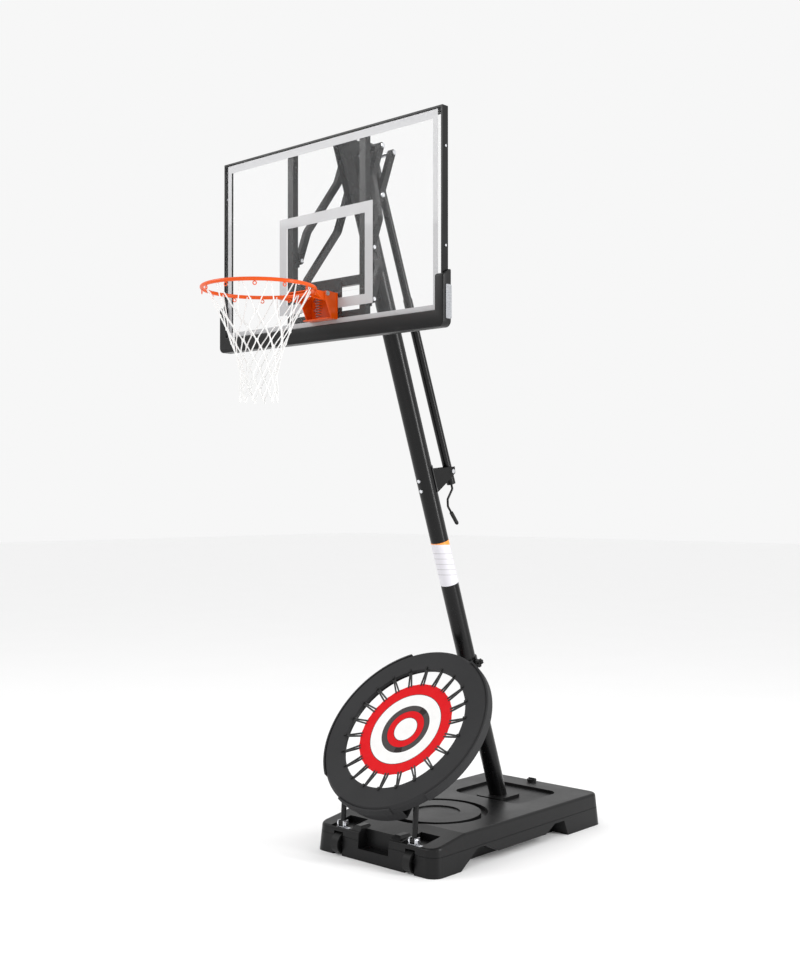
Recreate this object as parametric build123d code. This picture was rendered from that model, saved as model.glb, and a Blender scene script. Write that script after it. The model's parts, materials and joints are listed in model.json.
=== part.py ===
from build123d import *
from math import asin, atan2, cos, degrees, hypot, radians, sin, sqrt, tan
import os

# Portable basketball hoop on a water-filled base, with a crank-operated height
# jack, a breakaway rim and a round rebounder leaning on the base. Millimetres,
# +Z up, the players stand towards -Y. The origin is the centre of the base's
# underside, on the floor.

# Clearances
RUN_GAP = 0.05        # radial gap of a pin that turns in its bore
OPEN_GAP = 0.3        # radial gap at the pivots that close a linkage
BOLT_GAP = 0.3        # radial gap of a bolt in a plain hole
SEAT_GAP = 0.2        # gap between faces that only rest on each other
MOVE_GAP = 0.5        # side gap between pieces that move past each other

# Base tank
BASE_LENGTH = 1325.0
BASE_WIDTH = 756.0
BASE_HEIGHT = 160.0
BASE_FRONT_HEIGHT = 122.0
BASE_SLOPE_LENGTH = 230.0
BASE_SIDE_INSET = 12.0
BASE_CORNER = 55.0
BASE_EDGE_ROUND = 14.0
TANK_FLOOR = 6.0
TANK_WALL = 20.0
ARCH_DEPTH = 95.0
ARCH_TOP = 80.0
ARCH_MIDDLE = 38.0
SEAM_HEIGHT = 88.0
SEAM_WIDTH = 3.0
SEAM_DEPTH = 2.0
GROOVE_RADIUS = 250.0
GROOVE_WIDTH = 34.0
GROOVE_DEPTH = 20.0
DISH_RADIUS = 115.0
DISH_DEPTH = 6.0
GROOVE_BEHIND_FRONT = 452.0
REAR_RECESS = (430.0, 350.0)
REAR_RECESS_DEPTH = 14.0
REAR_RECESS_FROM_BACK = 330.0
FILL_NECK_RADIUS = 16.0
FILL_NECK_WALL = 6.0
FILL_NECK_RISE = 6.0
FILL_NECK_X = -35.0
FILL_NECK_FROM_BACK = 52.0
CAP_RADIUS = 25.0
CAP_HEIGHT = 8.0
HAND_HOLD = (190.0, 62.0, 52.0)   # width, depth, floor height
NOSE = (54.0, 118.0, 26.0)        # width, depth and rise of the block beside the hand hold

# Wheels
WHEEL_RADIUS = 50.0
WHEEL_WIDTH = 44.0
WHEEL_X = 226.0
WHEEL_LIFT = 1.0
WHEEL_BEHIND_FRONT = 27.0
WHEEL_WELL_GAP = 7.0
AXLE_RADIUS = 6.0

# Pole
POLE_RADIUS = 44.5
POLE_WALL = 3.0
POLE_LEAN = 19.38
POLE_Y_AT_BASE = 273.0
POLE_TOP = 3277.0
POLE_JOINT_TOP = 1860.0
SPIGOT_LENGTH = 190.0
SOCKET_FLOOR = 12.0
SOCKET_WALL = 8.0
JOINT_BOLTS = (1772.0, 1724.0)
LABEL_BOTTOM = 1258.0
LABEL_TOP = 1468.0
LABEL_THICK = 0.4
BOLT_RADIUS = 5.0

# Height linkage
TOP_RIM_Z = 3048.0                # regulation height of the ring
PIVOT_BEHIND_POLE = 12.4
LOWER_PIVOT_Z = 3038.0
PIVOT_STACK = 224.0
ARM_LENGTH = 535.0
ARM_SLOPE = 70.0
ARM_HEIGHT = 30.0
ARM_WIDTH = 25.0
ARM_X_POLE = 110.0
ARM_X_BOARD = 228.0
ARM_BENDS = (0.28, 0.72)
ARM_BEND_RADIUS = 45.0
LEVER_LENGTH = 220.0
PIVOT_RADIUS = 6.0
BUSH_WALL = 3.0
SPACER_RADIUS = 15.0
HEAD_PLATE = 6.0
HEAD_BOLTS = (3112.0, 3210.0)

# Jack
JACK_FOOT_Z = 1808.0
JACK_BEHIND_POLE = 184.7
JACK_RADIUS = 22.0
JACK_WALL = 2.5
JACK_TAIL = 65.0
JACK_TUBE_LENGTH = 930.0
JACK_ROD_RADIUS = 19.0
JACK_ROD_OVERLAP = 300.0
JACK_ROD_HEAD = 24.0
SCREW_RADIUS = 8.0
JACK_PLATE = 4.0
CRANK_RADIUS = 5.5
GRIP_RADIUS = 9.5
GRIP_LENGTH = 72.0

# Backboard
BOARD_WIDTH = 1372.0
BOARD_TOP = 3270.0
BOARD_BOTTOM = 2385.0
FRAME_DEPTH = 35.0
FRAME_WALL = 3.0
FRAME_LIP = 8.0
FRAME_LIP_THICK = 2.0
FRAME_FLANGE = 25.0
PANEL_THICK = 5.0
CHANNEL_WIDTH = 36.0
CHANNEL_WALL = 2.5
CHANNEL_BACK = 38.0
CROSS_BARS = ((2600.0, 2640.0), (2460.0, 2492.0))
CLEVIS_SETBACK = 60.0
CLEVIS_PLATE = 3.0
CLEVIS_HALF_HEIGHT = 34.0
PAD_BOTTOM = 2368.0
PAD_TOP = 2438.0
PAD_SIDE_TOP = 2604.0
PAD_OUT = 16.0
PAD_FRONT = 16.0
PAD_SIDE_BAND = 46.0
PAD_CORNER = 26.0
SIDE_PLATE_SPAN = (2401.0, 2540.0)
SIDE_PLATE_THICK = 3.0
SIDE_BOLTS = (2700.0, 3105.0)

# Rim
RIM_INSIDE = 228.6
RIM_ROD = 8.0
RIM_REACH = 381.0
RIM_Z = 2553.0
RIM_PLATE = (166.0, 2457.0, 2572.0)   # width, bottom, top
RIM_PLATE_THICK = 5.0
RIM_PIVOT_REACH = 62.0
RIM_PIVOT_UP = 10.0
RIM_CHEEK = 4.0
MOUNT_BOLT_X = 50.0
MOUNT_BOLT_Z = (2508.0, 2549.0)
BACK_PLATE = (200.0, 2450.0, 2618.0)
SPRING_RADIUS = 12.0
SPRING_WIRE = 1.6
SPRING_TURNS = 9
SPRING_REACH = 34.0
NET_HOOKS = 12
HOOK_RADIUS = 7.0
HOOK_WIRE = 2.0
NET_WALL = 3.0
NET_PROFILE = ((222.0, -18.0), (160.0, -130.0), (105.0, -262.0), (76.0, -362.0), (80.0, -490.0))

# Rebounder
DISC_BEHIND_HINGE = 175.0
DISC_HEIGHT = 600.0
DISC_TILT = 48.2
DISC_RADIUS = 441.5
DISC_INNER = 330.0
DISC_DEPTH = 45.0
DISC_WALL = 4.0
LOBE_OUT = 7.0
LOBES = ((10, 55), (170, 55), (270, 21))   # middle and half angle, degrees
MAT_RADIUS = 254.0
MAT_THICK = 6.0
MAT_SINK = 12.0
BUNGEES = 22
BUNGEE_RADIUS = 4.0
FRAME_RING_RADIUS = 350.0
FRAME_RING_TUBE = 12.0
FRAME_RING_SINK = 30.0
PAN_DEPTH = 62.0
PAN_HALF_WIDTH = 190.0
HINGE_X = 226.0
HINGE_BEHIND_FRONT = 37.5
HINGE_Z = 140.0
LEG_RADIUS = 12.5
EAR_THICK = 4.0
POCKET = (116.0, 118.0)           # width and floor height of the hinge pockets
CLAMP_Z = 858.0
CLAMP_HEIGHT = 46.0
CLAMP_WALL = 7.0
CLAMP_EAR = 34.0                  # how far the clamp's ears stand out from the pole
CLAMP_BOLT_OUT = 24.0
CLAMP_BOLT_RADIUS = 4.0
KNOB_RADIUS = 15.0
CRADLE_REACH = 92.0
CRADLE_PIN_RADIUS = 5.0
STAY_THICK = 6.0
STAY_X = 14.0

BOTTOM = (Align.CENTER, Align.CENTER, Align.MIN)
POLE_TAN = tan(radians(POLE_LEAN))
POLE_WAY = Vector(0, -sin(radians(POLE_LEAN)), cos(radians(POLE_LEAN)))
POLE_FRONT = Vector(0, -cos(radians(POLE_LEAN)), -sin(radians(POLE_LEAN)))
POLE_HALF_Y = POLE_RADIUS / cos(radians(POLE_LEAN))
UPPER_PIVOT_Z = LOWER_PIVOT_Z + PIVOT_STACK
ARM_WAY = Vector(0, -cos(radians(ARM_SLOPE)), -sin(radians(ARM_SLOPE)))
POLE_PIVOT_Y = POLE_Y_AT_BASE - (LOWER_PIVOT_Z - BASE_HEIGHT) * POLE_TAN + PIVOT_BEHIND_POLE
JACK_FOOT = (POLE_Y_AT_BASE - (JACK_FOOT_Z - BASE_HEIGHT) * POLE_TAN + JACK_BEHIND_POLE, JACK_FOOT_Z)
BOARD_Y = POLE_PIVOT_Y + (ARM_WAY * ARM_LENGTH).Y - CLEVIS_SETBACK
BACK_Y = BASE_LENGTH / 2
FRONT_Y = -BASE_LENGTH / 2
WHEEL_Y = FRONT_Y + WHEEL_BEHIND_FRONT
HINGE_Y = FRONT_Y + HINGE_BEHIND_FRONT
DISC_CENTRE = (HINGE_Y + DISC_BEHIND_HINGE, DISC_HEIGHT)
WHEEL_Z = WHEEL_RADIUS + WHEEL_LIFT


# ---- shape helpers

def block(x, y, z):
    """Box between three pairs of limits."""
    sizes = (x[1] - x[0], y[1] - y[0], z[1] - z[0])
    return Pos((x[0] + x[1]) / 2, (y[0] + y[1]) / 2, (z[0] + z[1]) / 2) * Box(*sizes)


def rod(start, end, radius):
    """Round bar between two points."""
    a, b = Vector(start), Vector(end)
    return Plane(origin=a, z_dir=b - a) * Cylinder(radius, (b - a).length, align=BOTTOM)


def pipe(start, end, outer, inner):
    """Round tube between two points."""
    a, b = Vector(start), Vector(end)
    reach = (b - a).normalized()
    return rod(a, b, outer) - rod(a - reach, b + reach, inner)


def side_plate(points, x):
    """Flat plate with its outline in (Y, Z), between two X values."""
    face = make_face(Polyline(*points, close=True))
    low, high = min(x), max(x)
    return extrude(Plane.YZ.offset(low) * face, high - low, dir=(1, 0, 0))


def hex_prism(at, way, across, height):
    """Hexagon prism that starts at a point and grows along a direction."""
    sketch = RegularPolygon(across / 2, 6, major_radius=False)
    return Plane(origin=at, z_dir=way) * extrude(sketch, height)


def bolt(start, end, radius):
    """Hex bolt between its head's seat and its nut's seat, and the nut."""
    a, b = Vector(start), Vector(end)
    way = (b - a).normalized()
    across, head, nut_high = 3.3 * radius, 1.3 * radius, 1.6 * radius
    screw = hex_prism(a - way * head, way, across, head) + rod(a, b + way * (nut_high + 2), radius)
    nut = hex_prism(b, way, across, nut_high)
    nut -= rod(b - way, b + way * (nut_high + 1), radius + RUN_GAP)
    return [screw, nut]


def mirrored(shape):
    """The same shape on the other side of the middle plane."""
    return mirror(shape, about=Plane.YZ)


def pair(shape):
    return [shape, mirrored(shape)]


def save(name, *shapes):
    """Writes one node, as one solid or as a group of separate solids."""
    solids = [solid for shape in shapes for solid in shape.solids()]
    export_step(Compound(solids) if len(solids) > 1 else solids[0], f"parts/{name}.step")


def pole_y(z):
    return POLE_Y_AT_BASE - (z - BASE_HEIGHT) * POLE_TAN


def pole_point(z):
    return Vector(0, pole_y(z), z)


def pole_run(z_low, z_high, radius):
    """Bar along the pole's axis between two heights."""
    return rod(pole_point(z_low), pole_point(z_high), radius)


# ---- base

def base_top_profile():
    """Side outline of the tank: flat at the back, sloping to a lower front."""
    slope_back = FRONT_Y + BASE_SLOPE_LENGTH
    points = [(FRONT_Y - 20, -1), (BACK_Y + 20, -1), (BACK_Y + 20, BASE_HEIGHT),
              (slope_back, BASE_HEIGHT), (FRONT_Y - 20, BASE_FRONT_HEIGHT)]
    return side_plate(points, (-BASE_WIDTH, BASE_WIDTH))


def base_block():
    """Tapered block with rounded corners and a rounded top edge."""
    inset = 2 * BASE_SIDE_INSET
    low = RectangleRounded(BASE_WIDTH, BASE_LENGTH, BASE_CORNER)
    high = RectangleRounded(BASE_WIDTH - inset, BASE_LENGTH - inset, BASE_CORNER)
    body = loft([low, Pos(0, 0, BASE_HEIGHT + 1) * high]) & base_top_profile()
    rim = [edge for edge in body.edges()
           if edge.center().Z > BASE_FRONT_HEIGHT - 10
           and (abs(edge.center().X) > BASE_WIDTH / 2 - BASE_CORNER
                or abs(edge.center().Y) > BASE_LENGTH / 2 - BASE_CORNER)
           and edge.bounding_box().size.Z < BASE_HEIGHT / 2]
    return fillet(rim, BASE_EDGE_ROUND)


def arch_cut():
    """Feet outline cut from one side of the tank."""
    back = BACK_Y
    front = FRONT_Y
    points = [(front + 182, -5), (front + 182, 0), (front + 310, ARCH_TOP), (front + 360, ARCH_TOP),
              (front + 460, ARCH_MIDDLE), (back - 490, ARCH_MIDDLE), (back - 412, ARCH_TOP - 5),
              (back - 335, ARCH_TOP - 5), (back - 308, 0), (back - 308, -5)]
    return side_plate(points, (BASE_WIDTH / 2 - ARCH_DEPTH, BASE_WIDTH))


def seam_cut():
    """Shallow line around the tank where its two mould halves meet."""
    inset = 2 * (BASE_SIDE_INSET * SEAM_HEIGHT / BASE_HEIGHT + SEAM_DEPTH)
    ring = Pos(0, 0, SEAM_HEIGHT) * Box(2 * BASE_WIDTH, 2 * BASE_LENGTH, SEAM_WIDTH, align=BOTTOM)
    core = extrude(RectangleRounded(BASE_WIDTH - inset, BASE_LENGTH - inset, BASE_CORNER), BASE_HEIGHT)
    return ring - core


def pole_socket(extra):
    """Slanted bar around the pole's foot, cut off level above the tank floor."""
    bar = pole_run(-60, BASE_HEIGHT + 90, POLE_RADIUS + extra)
    return bar & block((-200, 200), (0, 500), (SOCKET_FLOOR, BASE_HEIGHT + 40))


def tank_cavity(shrink):
    """Inside of the tank around the pole's socket."""
    half = BASE_WIDTH / 2 - ARCH_DEPTH - TANK_WALL / 2 - shrink
    top = BASE_HEIGHT - GROOVE_DEPTH - TANK_WALL / 2 - shrink
    cavity = block((-half, half), (FRONT_Y + 175 + shrink, BACK_Y - TANK_WALL - shrink),
                   (TANK_FLOOR + shrink, top))
    return cavity - pole_run(-60, BASE_HEIGHT + 60, POLE_RADIUS + SOCKET_WALL + shrink)


def fill_neck_at(z):
    return Vector(FILL_NECK_X, BACK_Y - FILL_NECK_FROM_BACK, z)


def top_recesses():
    """Ring groove, dish and rear panel moulded into the tank's top."""
    centre = Pos(0, FRONT_Y + GROOVE_BEHIND_FRONT, BASE_HEIGHT - GROOVE_DEPTH)
    groove = Cylinder(GROOVE_RADIUS, 60, align=BOTTOM) - Cylinder(GROOVE_RADIUS - GROOVE_WIDTH, 60,
                                                                  align=BOTTOM)
    dish = Pos(0, 0, GROOVE_DEPTH - DISH_DEPTH) * Cylinder(DISH_RADIUS, 60, align=BOTTOM)
    panel = extrude(RectangleRounded(*REAR_RECESS, 60), 60)
    island = extrude(RectangleRounded(170, 190, 40), 60)
    rear = Pos(0, BACK_Y - REAR_RECESS_FROM_BACK, BASE_HEIGHT - REAR_RECESS_DEPTH) * panel
    rear -= Pos(0, POLE_Y_AT_BASE, BASE_HEIGHT - REAR_RECESS_DEPTH) * island
    return centre * (groove + dish) + rear


def front_pockets():
    """Wheel wells, hinge pockets and the hand hold at the front."""
    cuts = None
    for x in (-WHEEL_X, WHEEL_X):
        half = WHEEL_WIDTH / 2 + WHEEL_WELL_GAP
        well = block((x - half, x + half), (FRONT_Y - 50, WHEEL_Y + WHEEL_RADIUS + WHEEL_WELL_GAP),
                     (-5, WHEEL_Z + WHEEL_RADIUS + WHEEL_WELL_GAP))
        hinge = block((x - POCKET[0] / 2, x + POCKET[0] / 2), (HINGE_Y - 22, HINGE_Y + 112),
                      (POCKET[1], BASE_HEIGHT + 20))
        cuts = well + hinge if cuts is None else cuts + well + hinge
    width, depth, floor = HAND_HOLD
    return cuts + block((-width / 2, width / 2), (FRONT_Y - 50, FRONT_Y + depth), (floor, 300))


def nose(side):
    """Solid block beside the hand hold that stands above the tank's front."""
    width, depth, rise = NOSE
    near = side * (HAND_HOLD[0] / 2 + 3)
    low, high = BASE_FRONT_HEIGHT - 20, BASE_FRONT_HEIGHT + rise
    front = FRONT_Y + BASE_SIDE_INSET
    points = [(front, low), (front, high - 30), (front + 26, high), (front + depth - 34, high),
              (front + depth, low)]
    body = side_plate(points, sorted((near, near + side * width)))
    return chamfer(body.edges().filter_by(lambda e: e.center().Z > high - 1).filter_by(Axis.Y), 12)


def base_tank():
    tank = base_block() - seam_cut() - top_recesses() + nose(-1) + nose(1) - front_pockets()
    arch = arch_cut()
    tank -= arch
    tank -= mirrored(arch)
    tank -= tank_cavity(0)
    tank -= pole_socket(MOVE_GAP)
    neck_foot = fill_neck_at(BASE_HEIGHT - 30)
    neck_top = fill_neck_at(BASE_HEIGHT + FILL_NECK_RISE)
    tank += rod(neck_foot, neck_top, FILL_NECK_RADIUS + FILL_NECK_WALL)
    tank -= rod(fill_neck_at(BASE_HEIGHT - 80), fill_neck_at(BASE_HEIGHT + 20), FILL_NECK_RADIUS)
    for x in (-WHEEL_X, WHEEL_X):
        half = WHEEL_WIDTH / 2 + WHEEL_WELL_GAP + 16
        tank -= rod((x - half, WHEEL_Y, WHEEL_Z), (x + half, WHEEL_Y, WHEEL_Z), AXLE_RADIUS + RUN_GAP)
    return tank


def fill_cap():
    """Knurled screw cap with a plug that reaches into the neck."""
    seat = fill_neck_at(BASE_HEIGHT + FILL_NECK_RISE + SEAT_GAP)
    up = Vector(0, 0, 1)
    cap = rod(seat, seat + up * CAP_HEIGHT, CAP_RADIUS)
    for step in range(24):
        turn = radians(15 * step)
        notch = seat + Vector(CAP_RADIUS * cos(turn), CAP_RADIUS * sin(turn), -1)
        cap -= rod(notch, notch + up * (CAP_HEIGHT + 2), 1.6)
    grip = Pos(seat + up * CAP_HEIGHT) * Box(2 * CAP_RADIUS - 12, 7, 6, align=BOTTOM)
    return cap + grip + rod(seat - up * 14, seat, FILL_NECK_RADIUS - MOVE_GAP)


def wheel(x):
    """Moulded wheel: tyre ring, thin web and hub, bored for its axle."""
    half = WHEEL_WIDTH / 2
    body = rod((x - half, WHEEL_Y, WHEEL_Z), (x + half, WHEEL_Y, WHEEL_Z), WHEEL_RADIUS)
    for side in (-1, 1):
        face = x + side * half
        floor = face - side * 12
        ring = pipe((floor, WHEEL_Y, WHEEL_Z), (face + side, WHEEL_Y, WHEEL_Z), WHEEL_RADIUS - 10, 14)
        body -= ring
    return body - rod((x - 50, WHEEL_Y, WHEEL_Z), (x + 50, WHEEL_Y, WHEEL_Z), AXLE_RADIUS + RUN_GAP)


def build_base():
    save("base_tank", base_tank())
    save("ballast_water", tank_cavity(1.0))
    save("fill_cap", fill_cap())
    save("left_wheel", wheel(-WHEEL_X))
    save("right_wheel", wheel(WHEEL_X))
    reach = WHEEL_WIDTH / 2 + WHEEL_WELL_GAP + 14
    axles = [rod((x - reach, WHEEL_Y, WHEEL_Z), (x + reach, WHEEL_Y, WHEEL_Z), AXLE_RADIUS)
             for x in (-WHEEL_X, WHEEL_X)]
    save("wheel_axles", *axles)


# ---- pole

def pole_holes():
    """Cross holes for the joint bolts, the head bolts and the lower pivot."""
    cuts = None
    for z in JOINT_BOLTS:
        middle = pole_point(z)
        hole = rod(middle - POLE_FRONT * 80, middle + POLE_FRONT * 80, BOLT_RADIUS + BOLT_GAP)
        cuts = hole if cuts is None else cuts + hole
    for z in HEAD_BOLTS:
        middle = pole_point(z)
        cuts += rod(middle - Vector(80, 0, 0), middle + Vector(80, 0, 0), BOLT_RADIUS + BOLT_GAP)
    spacer = ((-80, POLE_PIVOT_Y, LOWER_PIVOT_Z), (80, POLE_PIVOT_Y, LOWER_PIVOT_Z))
    return cuts + rod(*spacer, SPACER_RADIUS + BOLT_GAP)


def lower_pole():
    top = pole_point(POLE_JOINT_TOP)
    foot = pole_point(-40)
    tube = pipe(foot, top, POLE_RADIUS, POLE_RADIUS - POLE_WALL)
    return tube - block((-200, 200), (0, 600), (-200, SOCKET_FLOOR + SEAT_GAP)) - pole_holes()


def upper_pole():
    """Upper tube with a narrowed end that slides into the lower tube."""
    shoulder = pole_point(POLE_JOINT_TOP) + POLE_WAY * SEAT_GAP
    spigot_radius = POLE_RADIUS - POLE_WALL - BOLT_GAP
    tube = pipe(shoulder, pole_point(POLE_TOP), POLE_RADIUS, spigot_radius - POLE_WALL)
    tube += pipe(shoulder - POLE_WAY * SPIGOT_LENGTH, shoulder + POLE_WAY * 20, spigot_radius,
                 spigot_radius - POLE_WALL)
    return tube - pole_holes()


def pole_cap():
    seat = pole_point(POLE_TOP) + POLE_WAY * SEAT_GAP
    inner = POLE_RADIUS - 2 * POLE_WALL - 2 * BOLT_GAP
    return rod(seat, seat + POLE_WAY * 5, POLE_RADIUS) + rod(seat - POLE_WAY * 16, seat, inner)


def label():
    """Sticker around the front and right of the pole."""
    start, end = pole_point(LABEL_BOTTOM), pole_point(LABEL_TOP)
    sleeve = pipe(start, end, POLE_RADIUS + RUN_GAP + LABEL_THICK, POLE_RADIUS + RUN_GAP)
    middle = (start + end) * 0.5
    return sleeve & (Plane(origin=middle, x_dir=(1, 0, 0), z_dir=POLE_WAY)
                     * Pos(60, -30, 0) * Box(180, 120, 400))


def head_bracket():
    """Two plates beside the pole's top, with the spacer tubes of both pivots."""
    inner = POLE_RADIUS + SEAT_GAP
    outer = inner + HEAD_PLATE
    low, high = LOWER_PIVOT_Z - 48, POLE_TOP - 6
    points = [(pole_y(low) - POLE_HALF_Y, low), (POLE_PIVOT_Y + 32, low),
              (POLE_PIVOT_Y + 34, LOWER_PIVOT_Z + 10), (POLE_PIVOT_Y + 22, UPPER_PIVOT_Z + 24),
              (POLE_PIVOT_Y - 14, UPPER_PIVOT_Z + 26), (pole_y(high) - POLE_HALF_Y, high)]
    plates = pair(side_plate(points, (inner, outer)))
    body = plates[0] + plates[1]
    reach = ARM_X_POLE - ARM_WIDTH / 2 - MOVE_GAP
    for z in (LOWER_PIVOT_Z, UPPER_PIVOT_Z):
        ends = ((-reach, POLE_PIVOT_Y, z), (reach, POLE_PIVOT_Y, z))
        body += rod(*ends, SPACER_RADIUS)
    for z in (LOWER_PIVOT_Z, UPPER_PIVOT_Z):
        body -= rod((-200, POLE_PIVOT_Y, z), (200, POLE_PIVOT_Y, z), PIVOT_RADIUS + BOLT_GAP)
    for z in HEAD_BOLTS:
        middle = pole_point(z)
        body -= rod(middle - Vector(80, 0, 0), middle + Vector(80, 0, 0), BOLT_RADIUS + BOLT_GAP)
    return body


def jack_bracket():
    """Half collar behind the pole with two ears that hold the jack's foot."""
    low, high = JOINT_BOLTS[1] - 24, JOINT_BOLTS[0] + 50
    collar = pipe(pole_point(low), pole_point(high), POLE_RADIUS + SEAT_GAP + JACK_PLATE,
                  POLE_RADIUS + SEAT_GAP)
    middle = pole_point((low + high) / 2) - POLE_FRONT * 62
    collar &= Plane(origin=middle, x_dir=(1, 0, 0), z_dir=POLE_WAY) * Box(200, 100, 400)
    foot_y, foot_z = JACK_FOOT
    start = POLE_HALF_Y - 5
    points = [(pole_y(high - 6) + start, high - 6), (foot_y + 18, foot_z + 24), (foot_y + 22, foot_z - 8),
              (foot_y - 18, foot_z - 40), (pole_y(low + 6) + start, low + 6)]
    inner = JACK_RADIUS + 1.2
    ears = pair(side_plate(points, (inner, inner + JACK_PLATE)))
    body = collar + ears[0] + ears[1]
    body -= rod((-60, foot_y, foot_z), (60, foot_y, foot_z), PIVOT_RADIUS + RUN_GAP)
    for z in JOINT_BOLTS:
        middle = pole_point(z)
        body -= rod(middle - POLE_FRONT * 90, middle, BOLT_RADIUS + BOLT_GAP)
    return body


def clamp_bolt_centre(side):
    return pole_point(CLAMP_Z) + Vector(side * (POLE_RADIUS + CLAMP_BOLT_OUT), 0, 0)


def pole_clamp():
    """Two half collars around the pole, with the cradle for the rebounder's stay."""
    low, high = pole_point(CLAMP_Z) - POLE_WAY * (CLAMP_HEIGHT / 2), pole_point(CLAMP_Z)
    top = high + POLE_WAY * (CLAMP_HEIGHT / 2)
    collar = pipe(low, top, POLE_RADIUS + SEAT_GAP + CLAMP_WALL, POLE_RADIUS + SEAT_GAP)
    wide = POLE_RADIUS + CLAMP_EAR
    flange_frame = Plane(origin=pole_point(CLAMP_Z), x_dir=(1, 0, 0), z_dir=POLE_WAY)
    flange = flange_frame * (Box(2 * wide, 16, CLAMP_HEIGHT - 8) - Cylinder(POLE_RADIUS + 3, 100))
    body = collar + flange
    body -= flange_frame * Box(400, 3, 200)
    pin_y = pole_y(CLAMP_Z) - CRADLE_REACH
    lug = side_plate([(pin_y - 12, CLAMP_Z - 12), (pin_y + 12, CLAMP_Z - 14),
                      (pole_y(CLAMP_Z - 16) - POLE_HALF_Y - 2, CLAMP_Z - 16),
                      (pole_y(CLAMP_Z + 14) - POLE_HALF_Y - 2, CLAMP_Z + 14), (pin_y - 12, CLAMP_Z + 8)],
                     (-6, 6))
    body += lug
    for side in (-1, 1):
        middle = clamp_bolt_centre(side)
        body -= rod(middle - POLE_FRONT * 60, middle + POLE_FRONT * 60, CLAMP_BOLT_RADIUS + BOLT_GAP)
    return body - rod((-60, pin_y, CLAMP_Z), (60, pin_y, CLAMP_Z), CRADLE_PIN_RADIUS + RUN_GAP)


def clamp_knob():
    """Star knob whose stud pulls the two clamp halves together."""
    middle = clamp_bolt_centre(1)
    start = middle - POLE_FRONT * (8 + SEAT_GAP)
    knob = rod(start, start - POLE_FRONT * 16, KNOB_RADIUS)
    for step in range(6):
        turn = radians(60 * step)
        notch = Plane(origin=start, x_dir=(1, 0, 0), z_dir=-POLE_FRONT)
        reach = KNOB_RADIUS + 2.5
        knob -= notch * Pos(reach * cos(turn), reach * sin(turn), -1) * Cylinder(5.5, 18, align=BOTTOM)
    return knob + rod(start, middle + POLE_FRONT * 18, CLAMP_BOLT_RADIUS)


def build_pole():
    save("lower_pole", lower_pole())
    save("upper_pole", upper_pole())
    save("pole_cap", pole_cap())
    save("height_label", label())
    save("head_bracket", head_bracket())
    save("jack_bracket", jack_bracket())
    bolts = []
    for z in JOINT_BOLTS:
        middle = pole_point(z)
        back = POLE_RADIUS + 2 * SEAT_GAP + JACK_PLATE
        bolts += bolt(middle + POLE_FRONT * (POLE_RADIUS + SEAT_GAP), middle - POLE_FRONT * back,
                      BOLT_RADIUS)
    half = POLE_RADIUS + HEAD_PLATE + 2 * SEAT_GAP
    for z in HEAD_BOLTS:
        bolts += bolt(pole_point(z) + Vector(half, 0, 0), pole_point(z) - Vector(half, 0, 0), BOLT_RADIUS)
    save("pole_bolts", *bolts)
    half = ARM_X_POLE + ARM_WIDTH / 2 + MOVE_GAP
    bolts = []
    for z in (LOWER_PIVOT_Z, UPPER_PIVOT_Z):
        bolts += bolt((half, POLE_PIVOT_Y, z), (-half, POLE_PIVOT_Y, z), PIVOT_RADIUS)
    half = 15 + MOVE_GAP + EAR_THICK + SEAT_GAP
    for x in (-HINGE_X, HINGE_X):
        bolts += bolt((x + half, HINGE_Y, HINGE_Z), (x - half, HINGE_Y, HINGE_Z), PIVOT_RADIUS)
    save("pivot_bolts", *bolts)
    save("pole_clamp", pole_clamp())
    save("clamp_knob", clamp_knob())
    reach = POLE_FRONT * (8 + SEAT_GAP)
    save("clamp_bolt", *bolt(clamp_bolt_centre(-1) - reach, clamp_bolt_centre(-1) + reach,
                             CLAMP_BOLT_RADIUS))
    pin_y = pole_y(CLAMP_Z) - CRADLE_REACH
    save("cradle_pin", rod((-30, pin_y, CLAMP_Z), (30, pin_y, CLAMP_Z), CRADLE_PIN_RADIUS))


# ---- height arms

def bent_bar(pivot_z, start, x_side):
    """Flat tube that steps outwards between the pole and the board."""
    first, second = (share * ARM_LENGTH for share in ARM_BENDS)
    half = ARM_WIDTH / 2
    near, far = ARM_X_POLE, ARM_X_BOARD
    points = [(start, near - half), (first, near - half), (second, far - half), (ARM_LENGTH, far - half),
              (ARM_LENGTH, far + half), (second, far + half), (first, near + half), (start, near + half)]
    face = make_face(Polyline(*points, close=True))
    bends = [v for v in face.vertices() if start + 1 < v.X < ARM_LENGTH - 1]
    face = fillet(bends, ARM_BEND_RADIUS)
    plane = Plane(origin=(0, POLE_PIVOT_Y, pivot_z), x_dir=ARM_WAY, z_dir=Vector(1, 0, 0).cross(ARM_WAY))
    bar = plane * Pos(0, 0, -ARM_HEIGHT / 2) * extrude(face, ARM_HEIGHT)
    return bar if bar.center().X * x_side > 0 else mirrored(bar)


def arm(pivot_z, start, x_side, bore_at_board):
    """Arm with rounded ends and its cross bores."""
    bar = bent_bar(pivot_z, start, x_side)
    spots = [(0, ARM_X_POLE), (ARM_LENGTH, ARM_X_BOARD)]
    if start < 0:
        spots.append((start, ARM_X_POLE))
    for along, x in spots:
        centre = Vector(x_side * x, POLE_PIVOT_Y, pivot_z) + ARM_WAY * along
        half = Vector(ARM_WIDTH / 2, 0, 0)
        bar += rod(centre - half, centre + half, ARM_HEIGHT / 2)
    for along, x in spots:
        centre = Vector(x_side * x, POLE_PIVOT_Y, pivot_z) + ARM_WAY * along
        if along == 0:
            radius = PIVOT_RADIUS + BUSH_WALL
        elif along > 0:
            radius = BOLT_RADIUS + bore_at_board
        else:
            radius = PIVOT_RADIUS
        bar -= rod(centre - Vector(30, 0, 0), centre + Vector(30, 0, 0), radius)
    return bar


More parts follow.
